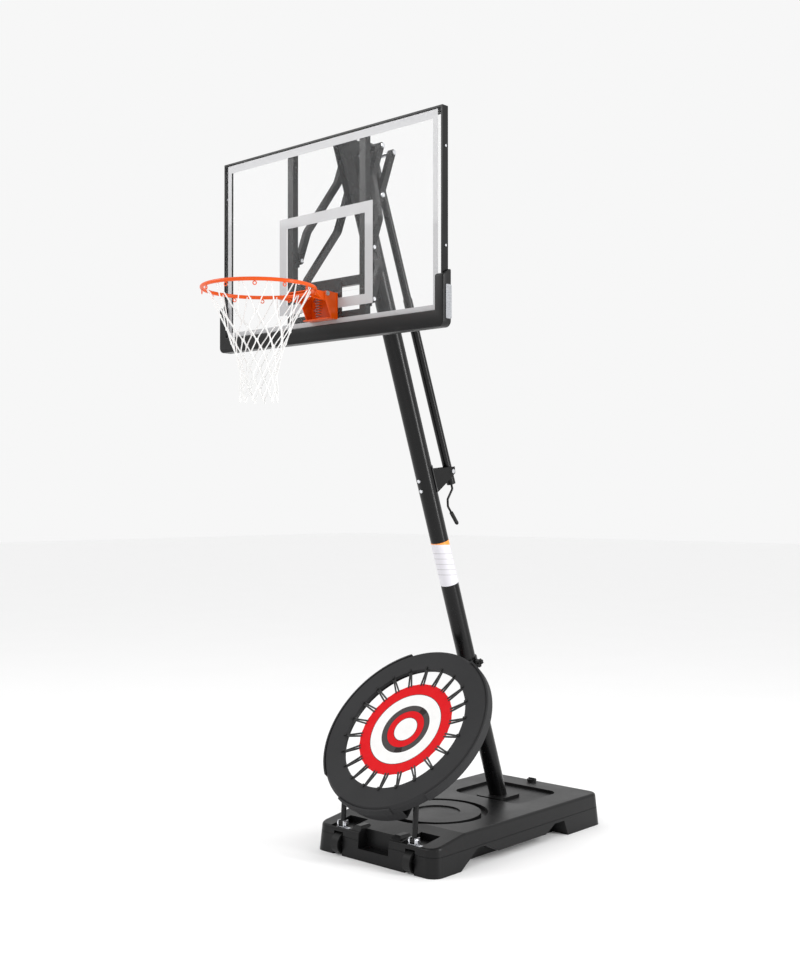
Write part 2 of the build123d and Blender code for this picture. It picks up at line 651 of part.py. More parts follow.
def arm_bushes(pivot_z):
    """Nylon bushes pressed into both arms at the pole's pivot."""
    near, far = ARM_X_POLE - ARM_WIDTH / 2, ARM_X_POLE + ARM_WIDTH / 2
    bush = pipe((near, POLE_PIVOT_Y, pivot_z), (far, POLE_PIVOT_Y, pivot_z), PIVOT_RADIUS + BUSH_WALL,
                PIVOT_RADIUS + RUN_GAP)
    return pair(bush)


def lever_pins():
    """Pins from the lever ends towards the jack's top eye."""
    centre = Vector(0, POLE_PIVOT_Y, LOWER_PIVOT_Z) - ARM_WAY * LEVER_LENGTH
    inner = JACK_ROD_RADIUS + 1.0
    inside = ARM_X_POLE - ARM_WIDTH / 2
    pin = rod(centre + Vector(inner, 0, 0), centre + Vector(inside, 0, 0), 11)
    pin += rod(centre + Vector(inside, 0, 0), centre + Vector(ARM_X_POLE + ARM_WIDTH / 2, 0, 0),
               PIVOT_RADIUS)
    head = hex_prism(centre + Vector(ARM_X_POLE + ARM_WIDTH / 2, 0, 0), Vector(1, 0, 0), 20, 8)
    return pair(pin + head)


def build_arms():
    for name, side in (("left", -1), ("right", 1)):
        save(f"{name}_lower_arm", arm(LOWER_PIVOT_Z, -LEVER_LENGTH, side, RUN_GAP))
        save(f"{name}_upper_arm", arm(UPPER_PIVOT_Z, 0, side, OPEN_GAP))
    save("lower_arm_bushes", *arm_bushes(LOWER_PIVOT_Z))
    save("upper_arm_bushes", *arm_bushes(UPPER_PIVOT_Z))
    save("lever_pins", *lever_pins())


# ---- jack

def jack_head():
    """Centre of the jack's top eye, in (Y, Z)."""
    top = Vector(0, POLE_PIVOT_Y, LOWER_PIVOT_Z) - ARM_WAY * LEVER_LENGTH
    return top.Y, top.Z


def jack_frame():
    """Frame at the jack's foot pivot, with z along the jack."""
    top_y, top_z = jack_head()
    way = Vector(0, top_y - JACK_FOOT[0], top_z - JACK_FOOT[1])
    return Plane(origin=(0, *JACK_FOOT), x_dir=(1, 0, 0), z_dir=way), way.length


def stub_holes(radius):
    return Rot(0, 90, 0) * Cylinder(radius, 4 * JACK_RADIUS)


def jack_tube():
    tail = Pos(0, 0, -JACK_TAIL)
    tube = tail * (Cylinder(JACK_RADIUS, JACK_TUBE_LENGTH, align=BOTTOM)
                   - Cylinder(JACK_RADIUS - JACK_WALL, JACK_TUBE_LENGTH + 1, align=BOTTOM))
    tube += tail * Cylinder(JACK_RADIUS, 8, align=BOTTOM)
    tube -= tail * Pos(0, 0, -5) * Cylinder(CRANK_RADIUS + RUN_GAP, 30, align=BOTTOM)
    return tube - stub_holes(PIVOT_RADIUS + RUN_GAP)


def thrust_block():
    """Block in the tube's foot that carries the screw and the pivot stubs."""
    solid = Cylinder(JACK_RADIUS - JACK_WALL - RUN_GAP, 44) - Cylinder(SCREW_RADIUS + RUN_GAP, 60)
    return solid - stub_holes(PIVOT_RADIUS + RUN_GAP)


def jack_rod(length):
    """Upper tube of the jack with a closed top and the cross bore of its eye."""
    low = length - (length - JACK_TUBE_LENGTH + JACK_TAIL + JACK_ROD_OVERLAP)
    high = length + JACK_ROD_HEAD
    inner = JACK_ROD_RADIUS - JACK_WALL
    tube = Pos(0, 0, low) * Cylinder(JACK_ROD_RADIUS, high - low, align=BOTTOM)
    tube -= Pos(0, 0, low - 1) * Cylinder(inner, length - low - 40, align=BOTTOM)
    tube = fillet(tube.edges().sort_by(Axis.Z)[-1], 8)
    return tube - Pos(0, 0, length) * Rot(0, 90, 0) * Cylinder(PIVOT_RADIUS + OPEN_GAP, 80), low


def jack_nut(low):
    ring = Cylinder(JACK_ROD_RADIUS - JACK_WALL, 40, align=BOTTOM)
    return Pos(0, 0, low) * (ring - Pos(0, 0, -1) * Cylinder(SCREW_RADIUS + OPEN_GAP, 50, align=BOTTOM))


def drive_screw(length):
    return Pos(0, 0, -22) * Cylinder(SCREW_RADIUS, length * 0.6, align=BOTTOM)


def crank_points():
    """Path of the crank below the jack, in the jack's frame (Y, Z)."""
    tail = -JACK_TAIL
    return [(0, -22.5), (0, tail - 26), (-52, tail - 62), (-62, tail - 96), (-50, tail - 130)]


def crank_rod():
    points = [Vector(0, y, z) for y, z in crank_points()]
    path = FilletPolyline(*points, radius=12)
    return sweep(Plane(origin=points[0], z_dir=(0, 0, -1)) * Circle(CRANK_RADIUS), path=path)


def crank_ends():
    """End of the crank and the direction its grip runs along."""
    last, before = (Vector(0, y, z) for y, z in (crank_points()[-1], crank_points()[-2]))
    return last, (last - before).normalized()


def crank_spindle():
    """Thin end of the crank that the grip turns on, with its end washer."""
    end, way = crank_ends()
    tip = end + way * (GRIP_LENGTH + 2)
    return rod(end - way * 2, tip, 4) + rod(tip, tip + way * 3, 7)


def crank_grip():
    end, way = crank_ends()
    start = end + way
    grip = rod(start, start + way * GRIP_LENGTH, GRIP_RADIUS)
    grip = fillet(grip.edges().filter_by(GeomType.CIRCLE), 3)
    return grip - rod(start - way * 5, start + way * (GRIP_LENGTH + 5), 4 + RUN_GAP)


def build_jack():
    frame, length = jack_frame()
    rod_shape, low = jack_rod(length)
    save("jack_tube", frame * jack_tube())
    save("jack_thrust_block", frame * thrust_block())
    save("jack_rod", frame * rod_shape)
    save("jack_nut", frame * jack_nut(low))
    save("jack_screw", frame * drive_screw(length))
    save("crank_rod", frame * (crank_rod() + crank_spindle()))
    save("crank_grip", frame * crank_grip())
    foot_y, foot_z = JACK_FOOT
    outer = JACK_RADIUS + 1.2 + JACK_PLATE
    stub = rod((SCREW_RADIUS + 3, foot_y, foot_z), (outer + SEAT_GAP, foot_y, foot_z), PIVOT_RADIUS)
    stub += hex_prism(Vector(outer + SEAT_GAP, foot_y, foot_z), Vector(1, 0, 0), 20, 7)
    save("jack_pivot_stubs", *pair(stub))


# ---- backboard

def board_block(x, depth, z):
    """Box whose depth is measured back from the board's front."""
    return block(x, (BOARD_Y + depth[0], BOARD_Y + depth[1]), z)


def frame_ring():
    """Rolled section frame: front lip, outer wall and rear flange."""
    half = BOARD_WIDTH / 2
    low, high = BOARD_BOTTOM, BOARD_TOP

    def opening(inset, depth):
        return board_block((inset - half, half - inset), depth, (low + inset, high - inset))

    ring = board_block((-half, half), (0, FRAME_DEPTH), (low, high))
    ring -= opening(FRAME_LIP, (-5, FRAME_LIP_THICK + 1))
    ring -= opening(FRAME_WALL, (FRAME_LIP_THICK, FRAME_DEPTH - FRAME_WALL))
    return ring - opening(FRAME_FLANGE, (FRAME_LIP_THICK, FRAME_DEPTH + 5))


def frame_rails():
    """The frame cut into two side rails, a top rail and a bottom rail."""
    ring = frame_ring()
    inner = BOARD_WIDTH / 2 - FRAME_FLANGE
    middle = (BOARD_TOP + BOARD_BOTTOM) / 2
    depth = (-5, FRAME_DEPTH + 5)
    sides = ring & board_block((inner, BOARD_WIDTH), depth, (0, 2 * BOARD_TOP))
    for z in SIDE_BOLTS:
        y = BOARD_Y + FRAME_DEPTH / 2
        sides -= rod((inner, y, z), (BOARD_WIDTH, y, z), 3 + BOLT_GAP)
    top = ring & board_block((-inner, inner), depth, (middle, 2 * BOARD_TOP))
    bottom = ring & board_block((-inner, inner), depth, (0, middle))
    return sides, top, bottom


def panel_back():
    return FRAME_LIP_THICK + SEAT_GAP + PANEL_THICK


def mount_holes(radius):
    """Four holes through everything that the rim's mount is bolted to."""
    cuts = None
    for x in (-MOUNT_BOLT_X, MOUNT_BOLT_X):
        for z in MOUNT_BOLT_Z:
            hole = rod((x, BOARD_Y - 60, z), (x, BOARD_Y + 60, z), radius)
            cuts = hole if cuts is None else cuts + hole
    return cuts


def panel():
    half = BOARD_WIDTH / 2 - FRAME_WALL - MOVE_GAP
    sheet = board_block((-half, half), (FRAME_LIP_THICK + SEAT_GAP, panel_back()),
                        (BOARD_BOTTOM + FRAME_WALL + MOVE_GAP, BOARD_TOP - FRAME_WALL - MOVE_GAP))
    return sheet - mount_holes(BOLT_RADIUS + BOLT_GAP)


def channel(x):
    """Upright box section behind the panel, with tabs over the rear flanges."""
    half = CHANNEL_WIDTH / 2
    low, high = BOARD_BOTTOM + FRAME_FLANGE + 1, BOARD_TOP - FRAME_FLANGE - 1
    front = panel_back() + SEAT_GAP
    body = board_block((x - half, x + half), (front, CHANNEL_BACK), (low, high))
    body -= board_block((x - half + CHANNEL_WALL, x + half - CHANNEL_WALL),
                        (front + CHANNEL_WALL, CHANNEL_BACK - CHANNEL_WALL), (low - 1, high + 1))
    tab_front = FRAME_DEPTH + SEAT_GAP
    return body + board_block((x - half, x + half), (tab_front, CHANNEL_BACK),
                              (low - FRAME_FLANGE + 6, high + FRAME_FLANGE - 6))


def cross_bars():
    half = ARM_X_BOARD - CHANNEL_WIDTH / 2 - SEAT_GAP
    bars = []
    for low, high in CROSS_BARS:
        front = panel_back() + 5.5
        bar = board_block((-half, half), (front, CHANNEL_BACK - 2), (low, high))
        bars.append(bar - board_block((-half - 1, half + 1), (front + 2.5, CHANNEL_BACK - 4.5),
                                      (low + 2.5, high - 2.5)))
    return bars


def rim_back_plate():
    """Rounded steel plate behind the panel that spreads the rim's load."""
    width, low, high = BACK_PLATE
    front = panel_back() + SEAT_GAP
    plate = board_block((-width / 2, width / 2), (front, front + 5), (low, high))
    plate = fillet(plate.edges().filter_by(Axis.Y), 14)
    return plate - mount_holes(BOLT_RADIUS + BOLT_GAP)


def clevis(x, z):
    """Two ears on a base plate that hold one arm's front pivot."""
    plate_front = CHANNEL_BACK + SEAT_GAP
    plate_back = plate_front + CLEVIS_PLATE
    pivot_y = BOARD_Y + CLEVIS_SETBACK
    body = board_block((x - 25, x + 25), (plate_front, plate_back),
                       (z - CLEVIS_HALF_HEIGHT, z + CLEVIS_HALF_HEIGHT))
    inner = ARM_WIDTH / 2 + MOVE_GAP
    points = [(BOARD_Y + plate_front, z - 26), (pivot_y + 6, z - 15), (pivot_y + 15, z - 8),
              (pivot_y + 15, z + 8), (pivot_y + 6, z + 15), (BOARD_Y + plate_front, z + 26)]
    for side in (-1, 1):
        near, far = x + side * inner, x + side * (inner + CLEVIS_PLATE)
        body += side_plate(points, (near, far))
    return body - rod((x - 60, pivot_y, z), (x + 60, pivot_y, z), BOLT_RADIUS + BOLT_GAP)


def front_pivots():
    """Centres of the four pivots at the board."""
    drop = ARM_WAY * ARM_LENGTH
    return [(side * ARM_X_BOARD, base + drop.Z) for side in (-1, 1)
            for base in (LOWER_PIVOT_Z, UPPER_PIVOT_Z)]


def bottom_pad():
    """U-shaped foam pad around the board's lower edge and corners."""
    half = BOARD_WIDTH / 2 + PAD_OUT
    outer = board_block((-half, half), (-PAD_FRONT, FRAME_DEPTH + 2), (PAD_BOTTOM, PAD_SIDE_TOP))
    outer = fillet([e for e in outer.edges().filter_by(Axis.Y) if e.center().Z < PAD_TOP], PAD_CORNER)
    inner = half - PAD_SIDE_BAND
    window = board_block((-inner, inner), (-60, 60), (PAD_TOP, PAD_SIDE_TOP + 50))
    fit = BOARD_WIDTH / 2 + SEAT_GAP
    core = board_block((-fit, fit), (-SEAT_GAP, 80), (BOARD_BOTTOM - SEAT_GAP, BOARD_TOP))
    face = BOARD_Y - PAD_FRONT - 1
    slant = side_plate([(face, PAD_SIDE_TOP - 26), (face, PAD_SIDE_TOP + 9),
                        (BOARD_Y + FRAME_DEPTH + 9, PAD_SIDE_TOP + 9)], (-half - 5, half + 5))
    return outer - window - core - slant


def side_plates():
    """Metal trim plates on the outer faces of the pad."""
    inner = BOARD_WIDTH / 2 + PAD_OUT + SEAT_GAP
    plate = board_block((inner, inner + SIDE_PLATE_THICK), (0, FRAME_DEPTH), SIDE_PLATE_SPAN)
    plate = fillet(plate.edges().filter_by(Axis.X), 6)
    return pair(plate)


def side_bolts():
    bolts = []
    for z in SIDE_BOLTS:
        y = BOARD_Y + FRAME_DEPTH / 2
        start = Vector(BOARD_WIDTH / 2 + SEAT_GAP, y, z)
        bolts += bolt(start, start - Vector(FRAME_WALL + 2 * SEAT_GAP, 0, 0), 3)
    return [copy for item in bolts for copy in pair(item)]


def build_board():
    sides, top, bottom = frame_rails()
    save("backboard_panel", panel())
    save("frame_side_rails", *pair(sides))
    save("frame_top_rail", top)
    save("frame_bottom_rail", bottom)
    save("frame_side_bolts", *side_bolts())
    save("board_channels", channel(-ARM_X_BOARD), channel(ARM_X_BOARD))
    save("channel_cross_bars", *cross_bars())
    save("rim_back_plate", rim_back_plate())
    save("arm_clevises", *[clevis(x, z) for x, z in front_pivots()])
    bolts = []
    half = ARM_WIDTH / 2 + MOVE_GAP + CLEVIS_PLATE + SEAT_GAP
    for x, z in front_pivots():
        y = BOARD_Y + CLEVIS_SETBACK
        bolts += bolt((x + half, y, z), (x - half, y, z), BOLT_RADIUS)
    save("clevis_bolts", *bolts)
    save("bottom_pad", bottom_pad())
    save("side_plates", *side_plates())


# ---- rim

def rim_pivot():
    return BOARD_Y - RIM_PIVOT_REACH, RIM_Z + RIM_PIVOT_UP


def mount_front():
    """Front face of the rim's mounting plate, ahead of the board's front."""
    return FRAME_LIP_THICK - RIM_PLATE_THICK


def rim_mount():
    """Fixed housing on the board: plate, two cheeks and a spring shelf."""
    width, low, high = RIM_PLATE
    half = width / 2
    body = board_block((-half, half), (mount_front(), FRAME_LIP_THICK), (low, high))
    front = BOARD_Y + mount_front() + 1
    pivot_y, pivot_z = rim_pivot()
    points = [(front, high), (pivot_y + 8, high + 4), (pivot_y - 9, high + 2), (pivot_y - 14, pivot_z - 12),
              (BOARD_Y - 30, low), (front, low)]
    for cheek in pair(side_plate(points, (half - 3 - RIM_CHEEK, half - 3))):
        body += cheek
    body += board_block((-half + 4, half - 4), (-52, mount_front() + 1), (low, low + 4))
    body -= rod((-200, pivot_y, pivot_z), (200, pivot_y, pivot_z), PIVOT_RADIUS + BOLT_GAP)
    return body - mount_holes(BOLT_RADIUS + BOLT_GAP)


def neck_half():
    """Half width of the moving neck, inside the fixed cheeks."""
    return RIM_PLATE[0] / 2 - 3 - RIM_CHEEK - MOVE_GAP


def rim_ring():
    """Round steel ring with its welded neck and two braces."""
    centre_y = BOARD_Y - RIM_REACH
    middle = RIM_INSIDE + RIM_ROD
    ring = Pos(0, centre_y, RIM_Z) * Torus(middle, RIM_ROD)
    pivot_y, pivot_z = rim_pivot()
    half = neck_half()
    ring_back = centre_y + middle
    top = pivot_z + 9
    plate = block((-half, half), (ring_back - 4, pivot_y + 40), (top - 4, top))
    points = [(pivot_y + 40, top), (pivot_y + 40, pivot_z - 8), (pivot_y, pivot_z - 30),
              (ring_back - 4, RIM_Z - 16), (ring_back - 4, top)]
    body = ring + plate
    for cheek in pair(side_plate(points, (half - 4, half))):
        body += cheek
    for side in (-1, 1):
        turn = radians(58)
        spot = Vector(side * middle * cos(turn), centre_y + middle * sin(turn), RIM_Z)
        body += rod(spot, (side * (half - 9), pivot_y - 24, pivot_z - 22), 6)
    inside = Pos(0, centre_y, RIM_Z - 50) * Cylinder(RIM_INSIDE, 100, align=BOTTOM)
    body -= inside
    return body - rod((-200, pivot_y, pivot_z), (200, pivot_y, pivot_z), PIVOT_RADIUS + RUN_GAP)


def net_hooks():
    """Welded wire loops under the ring that carry the net."""
    middle = RIM_INSIDE + RIM_ROD
    hooks = []
    for step in range(NET_HOOKS):
        turn = 360 / NET_HOOKS * (step + 0.5)
        place = Pos(0, BOARD_Y - RIM_REACH, RIM_Z - RIM_ROD - HOOK_RADIUS - HOOK_WIRE - 0.1)
        hooks.append(place * Rot(0, 0, turn) * Pos(middle, 0, 0) * Rot(0, 90, 0)
                     * Torus(HOOK_RADIUS, HOOK_WIRE))
    return hooks


def net():
    """Thin open sleeve with the net's outer shape."""
    inner = [(radius, drop) for radius, drop in NET_PROFILE]
    outer = [(radius + NET_WALL, drop) for radius, drop in reversed(NET_PROFILE)]
    face = Plane.XZ * make_face(Polyline(*(inner + outer), close=True))
    return Pos(0, BOARD_Y - RIM_REACH, RIM_Z) * revolve(face, Axis.Z)


def spring_span():
    return RIM_PLATE[1] + 4 + SEAT_GAP + SPRING_WIRE, RIM_Z + RIM_PIVOT_UP + 5 - SEAT_GAP - SPRING_WIRE


def breakaway_spring():
    """Coil spring that holds the neck level against the housing."""
    low, high = spring_span()
    path = Helix((high - low) / SPRING_TURNS, high - low, SPRING_RADIUS)
    start = Plane(origin=path @ 0, z_dir=path % 0)
    coil = sweep(start * Circle(SPRING_WIRE), path=path, is_frenet=True)
    return Pos(0, BOARD_Y - SPRING_REACH, low) * coil


def build_rim():
    save("rim_mount", rim_mount())
    save("rim_ring", rim_ring())
    save("net_hooks", *net_hooks())
    save("net", net())
    save("breakaway_spring", breakaway_spring())
    pivot_y, pivot_z = rim_pivot()
    half = RIM_PLATE[0] / 2 - 3 + SEAT_GAP
    save("rim_pivot_bolt", *bolt((half, pivot_y, pivot_z), (-half, pivot_y, pivot_z), PIVOT_RADIUS))
    bolts = []
    front = BOARD_Y + mount_front() - SEAT_GAP
    back = BOARD_Y + panel_back() + 5 + 2 * SEAT_GAP
    for x in (-MOUNT_BOLT_X, MOUNT_BOLT_X):
        for z in MOUNT_BOLT_Z:
            bolts += bolt((x, front, z), (x, back, z), BOLT_RADIUS)
    save("rim_mount_bolts", *bolts)


# ---- rebounder

def disc_frame():
    """Frame of the disc: x across, y up its face, z out of the face."""
    tilt = radians(DISC_TILT)
    return Plane(origin=(0, *DISC_CENTRE), x_dir=(1, 0, 0), z_dir=(0, -sin(tilt), cos(tilt)))


def disc_to_world(x, y, z):
    tilt = radians(DISC_TILT)
    return Vector(x, DISC_CENTRE[0] + y * cos(tilt) - z * sin(tilt),
                  DISC_CENTRE[1] + y * sin(tilt) + z * cos(tilt))


def sector(inner, outer, low, high, middle, half_angle):
    """Part of a flat ring around an angle."""
    reach = 2 * outer
    start, end = radians(middle - half_angle), radians(middle + half_angle)
    wedge = make_face(Polyline((0, 0), (reach * cos(start), reach * sin(start)),
                               (reach * cos(end), reach * sin(end)), close=True))
    ring = Pos(0, 0, low) * (Cylinder(outer, high - low, align=BOTTOM)
                             - Cylinder(inner, high - low, align=BOTTOM))
    return ring & Pos(0, 0, low - 1) * extrude(wedge, high - low + 2, dir=(0, 0, 1))


def disc_ring():
    """Moulded ring: a shell open at the back, with three lobes around its side."""
    outer, inner, wall = DISC_RADIUS, DISC_INNER, DISC_WALL
    profile = [(inner, 0), (outer - 12, 0), (outer, -12), (outer, -DISC_DEPTH), (outer - wall, -DISC_DEPTH),
               (outer - wall, -12 - wall / 2), (outer - 12 - wall / 2, -wall), (inner + wall, -wall),
               (inner + wall, -16), (inner, -16)]
    ring = revolve(Plane.XZ * make_face(Polyline(*profile, close=True)), Axis.Z)
    inside = Pos(0, 0, -DISC_DEPTH - 10) * Cylinder(outer - 2, 2 * DISC_DEPTH, align=BOTTOM)
    for middle, half_angle in LOBES:
        lobe = sector(outer - 8, outer + LOBE_OUT, -DISC_DEPTH, -3, middle, half_angle)
        ring += chamfer(lobe.edges().filter_by(Axis.Z), 3) - inside
    return ring


def back_pan():
    """Deep lower part of the housing, behind the ring."""
    low = -DISC_DEPTH - PAN_DEPTH
    high = -DISC_DEPTH - SEAT_GAP
    solid = sector(DISC_INNER + 46, DISC_RADIUS - 6, low, high, 270, 60)
    hollow = sector(DISC_INNER + 50, DISC_RADIUS - 10, low + 4, high + 1, 270, 62)
    limit = Box(2 * PAN_HALF_WIDTH, 4 * DISC_RADIUS, 4 * DISC_RADIUS)
    return (solid - hollow) & limit


def mat():
    return Pos(0, 0, -MAT_SINK - MAT_THICK) * Cylinder(MAT_RADIUS, MAT_THICK, align=BOTTOM)


def around(count, shape, offset=0.0):
    """Copies of a shape turned around the disc's middle."""
    return [Rot(0, 0, 360 / count * (step + offset)) * shape for step in range(count)]


def bungee():
    drop = -MAT_SINK - MAT_THICK / 2
    return rod((MAT_RADIUS + 2, 0, drop), (DISC_INNER - 1, 0, -8), BUNGEE_RADIUS)


def bungee_hook():
    """Plastic hook over the ring's inner lip."""
    return Pos(DISC_INNER + 5, 0, SEAT_GAP) * Box(16, 12, 5, align=BOTTOM)


def leg_top():
    """Where a leg meets the frame ring, in the disc's frame."""
    return HINGE_X, -sqrt(FRAME_RING_RADIUS ** 2 - HINGE_X ** 2), -FRAME_RING_SINK


def stay():
    """Flat bar from the frame ring that hooks over the cradle pin."""
    top = disc_to_world(0, FRAME_RING_RADIUS, -FRAME_RING_SINK)
    pin_y = pole_y(CLAMP_Z) - CRADLE_REACH
    swing = Vector(0, pin_y - HINGE_Y, CLAMP_Z - HINGE_Z)
    lift = Vector(0, -swing.Z, swing.Y).normalized()
    centre = Vector(0, pin_y, CLAMP_Z)
    nose = centre + lift * 14
    along = (Vector(0, nose.Y, nose.Z) - top).normalized()
    across = Vector(0, -along.Z, along.Y) * 11
    tail = nose + along * 16
    points = [(p.Y, p.Z) for p in (top - across, tail - across, tail + across, top + across)]
    bar = side_plate(points, (STAY_X, STAY_X + STAY_THICK))
    seat = CRADLE_PIN_RADIUS + OPEN_GAP
    bar -= rod(centre - Vector(60, 0, 0), centre + Vector(60, 0, 0), seat)
    slot = side_plate([(p.Y, p.Z) for p in (centre + along * seat, centre - along * seat,
                                            centre - along * seat - lift * 30,
                                            centre + along * seat - lift * 30)], (-60, 60))
    bar -= slot
    return bar


def rebounder_frame():
    """Steel ring behind the housing, with its legs and stays welded on."""
    ring = disc_frame() * (Pos(0, 0, -FRAME_RING_SINK) * Torus(FRAME_RING_RADIUS, FRAME_RING_TUBE))
    top = disc_to_world(*leg_top())
    hinge = Vector(HINGE_X, HINGE_Y, HINGE_Z)
    leg = rod(hinge, top, LEG_RADIUS) + rod(hinge - Vector(15, 0, 0), hinge + Vector(15, 0, 0), 16)
    body = ring
    for piece in pair(leg) + pair(stay()):
        body += piece
    for x in (-HINGE_X, HINGE_X):
        body -= rod((x - 40, HINGE_Y, HINGE_Z), (x + 40, HINGE_Y, HINGE_Z), PIVOT_RADIUS + RUN_GAP)
    return body


def hinge_ears():
    """Angle ears in the front pockets that hold the legs' pivots."""
    ears = []
    floor = POCKET[1] + SEAT_GAP
    for x in (-HINGE_X, HINGE_X):
        body = block((x - 40, x + 40), (HINGE_Y - 18, HINGE_Y + 18), (floor, floor + 3))
        for side in (-1, 1):
            near = x + side * (15 + MOVE_GAP)
            body += block(sorted((near, near + side * EAR_THICK)), (HINGE_Y - 16, HINGE_Y + 16),
                          (floor, HINGE_Z + 16))
        ears.append(body - rod((x - 60, HINGE_Y, HINGE_Z), (x + 60, HINGE_Y, HINGE_Z),
                               PIVOT_RADIUS + BOLT_GAP))
    return ears


def build_rebounder():
    frame = disc_frame()
    save("rebounder_ring", frame * disc_ring())
    save("rebounder_back_pan", frame * back_pan())
    save("rebounder_mat", frame * mat())
    save("rebounder_bungees", *[frame * item for item in around(BUNGEES, bungee())])
    save("bungee_hooks", *[frame * item for item in around(BUNGEES, bungee_hook())])
    save("rebounder_frame", rebounder_frame())
    save("hinge_ears", *hinge_ears())


def print_motion():
    """Prints the travel of the height linkage for the joint ranges."""
    rest = radians(ARM_SLOPE)
    rise = TOP_RIM_Z - RIM_Z
    top = asin(sin(rest) - rise / ARM_LENGTH)
    swing = rest - top
    head_y, head_z = jack_head()
    top_y = POLE_PIVOT_Y + LEVER_LENGTH * cos(top)
    top_z = LOWER_PIVOT_Z + LEVER_LENGTH * sin(top)
    long = hypot(head_y - JACK_FOOT[0], head_z - JACK_FOOT[1])
    short = hypot(top_y - JACK_FOOT[0], top_z - JACK_FOOT[1])
    lean = atan2(JACK_FOOT[0] - head_y, head_z - JACK_FOOT[1])
    lean_top = atan2(JACK_FOOT[0] - top_y, top_z - JACK_FOOT[1])
    print(f"arm swing {degrees(swing):.4f} deg, rim rises {rise:.1f} mm")
    print(f"jack {long:.3f} to {short:.3f} mm, leans {degrees(lean):.4f} to {degrees(lean_top):.4f} deg")
    front = Vector(0, POLE_PIVOT_Y, LOWER_PIVOT_Z) + ARM_WAY * ARM_LENGTH
    print(f"pole pivot y {POLE_PIVOT_Y:.4f}, jack foot y {JACK_FOOT[0]:.4f}, board y {BOARD_Y:.4f}")
    print(f"jack way {-sin(lean):.6f} {cos(lean):.6f}, front pivot y {front.Y:.4f} z {front.Z:.4f}")


os.makedirs("parts", exist_ok=True)
build_base()
build_pole()
build_arms()
build_jack()
build_board()
build_rim()
build_rebounder()
print_motion()
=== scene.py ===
# %% [markdown]
# # A portable basketball hoop
# The steel frame, the board, the jack and the base come from the CAD model, as a fixed frame that
# is loaded here. Each of those parts gets its real finish. What is soft or knotted is modelled in
# these cells: the net, the foam pad, the rebounder's mat and its elastic cords. So are the white
# lines on the board, which are a thin film.

# %% Load the frame
import json
from math import cos, pi, radians, sin

import bmesh
import bpy
from mathutils import Matrix, Vector


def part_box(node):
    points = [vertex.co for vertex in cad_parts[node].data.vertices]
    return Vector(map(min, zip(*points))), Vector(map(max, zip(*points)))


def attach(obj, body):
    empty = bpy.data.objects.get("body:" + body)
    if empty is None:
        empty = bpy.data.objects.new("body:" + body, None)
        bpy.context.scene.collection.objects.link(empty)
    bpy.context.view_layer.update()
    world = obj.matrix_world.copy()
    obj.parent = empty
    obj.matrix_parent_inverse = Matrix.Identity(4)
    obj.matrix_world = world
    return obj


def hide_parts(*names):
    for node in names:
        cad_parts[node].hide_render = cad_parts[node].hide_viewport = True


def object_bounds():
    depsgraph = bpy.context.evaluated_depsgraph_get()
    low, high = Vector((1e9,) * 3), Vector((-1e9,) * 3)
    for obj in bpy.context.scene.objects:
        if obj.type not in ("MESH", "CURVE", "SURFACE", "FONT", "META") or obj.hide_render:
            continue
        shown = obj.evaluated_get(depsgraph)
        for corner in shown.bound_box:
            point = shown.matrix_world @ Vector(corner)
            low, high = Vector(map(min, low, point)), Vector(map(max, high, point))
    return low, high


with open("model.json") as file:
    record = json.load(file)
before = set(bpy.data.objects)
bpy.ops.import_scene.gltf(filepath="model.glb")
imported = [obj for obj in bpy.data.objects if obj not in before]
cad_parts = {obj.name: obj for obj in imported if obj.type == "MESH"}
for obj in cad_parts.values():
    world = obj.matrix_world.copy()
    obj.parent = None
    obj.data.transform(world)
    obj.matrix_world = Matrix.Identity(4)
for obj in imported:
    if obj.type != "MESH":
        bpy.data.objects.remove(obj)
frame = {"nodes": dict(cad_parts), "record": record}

CAD_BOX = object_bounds()
print("CAD box", [tuple(round(v, 3) for v in corner) for corner in CAD_BOX])

# %% [markdown]
# ## Camera
# The hoop is seen from the front right, a little below the board and well above the base, with
# the camera almost level. A level camera keeps the uprights upright, and a normal lens keeps the
# 3 m pole from looking bent.

# %% Camera
camera_data = bpy.data.cameras.new("camera")
camera_data.sensor_fit = "VERTICAL"
camera_data.sensor_height = 36.0
camera_data.lens = 45.79
camera = bpy.data.objects.new("camera", camera_data)
camera.location = (3.9418, -4.7894, 1.6686)
camera.rotation_euler = (radians(90.5151), 0.0, radians(42.4057))
bpy.context.scene.collection.objects.link(camera)
bpy.context.scene.camera = camera
print("lens", camera_data.lens)

# %% [markdown]
# ## Shader maths
# A pattern in a material is arithmetic on positions. Written as nodes, a sum takes four lines, so
# a small class wraps a socket and lets plain `+`, `*` and `>` build the Math nodes. One method
# makes any other node.

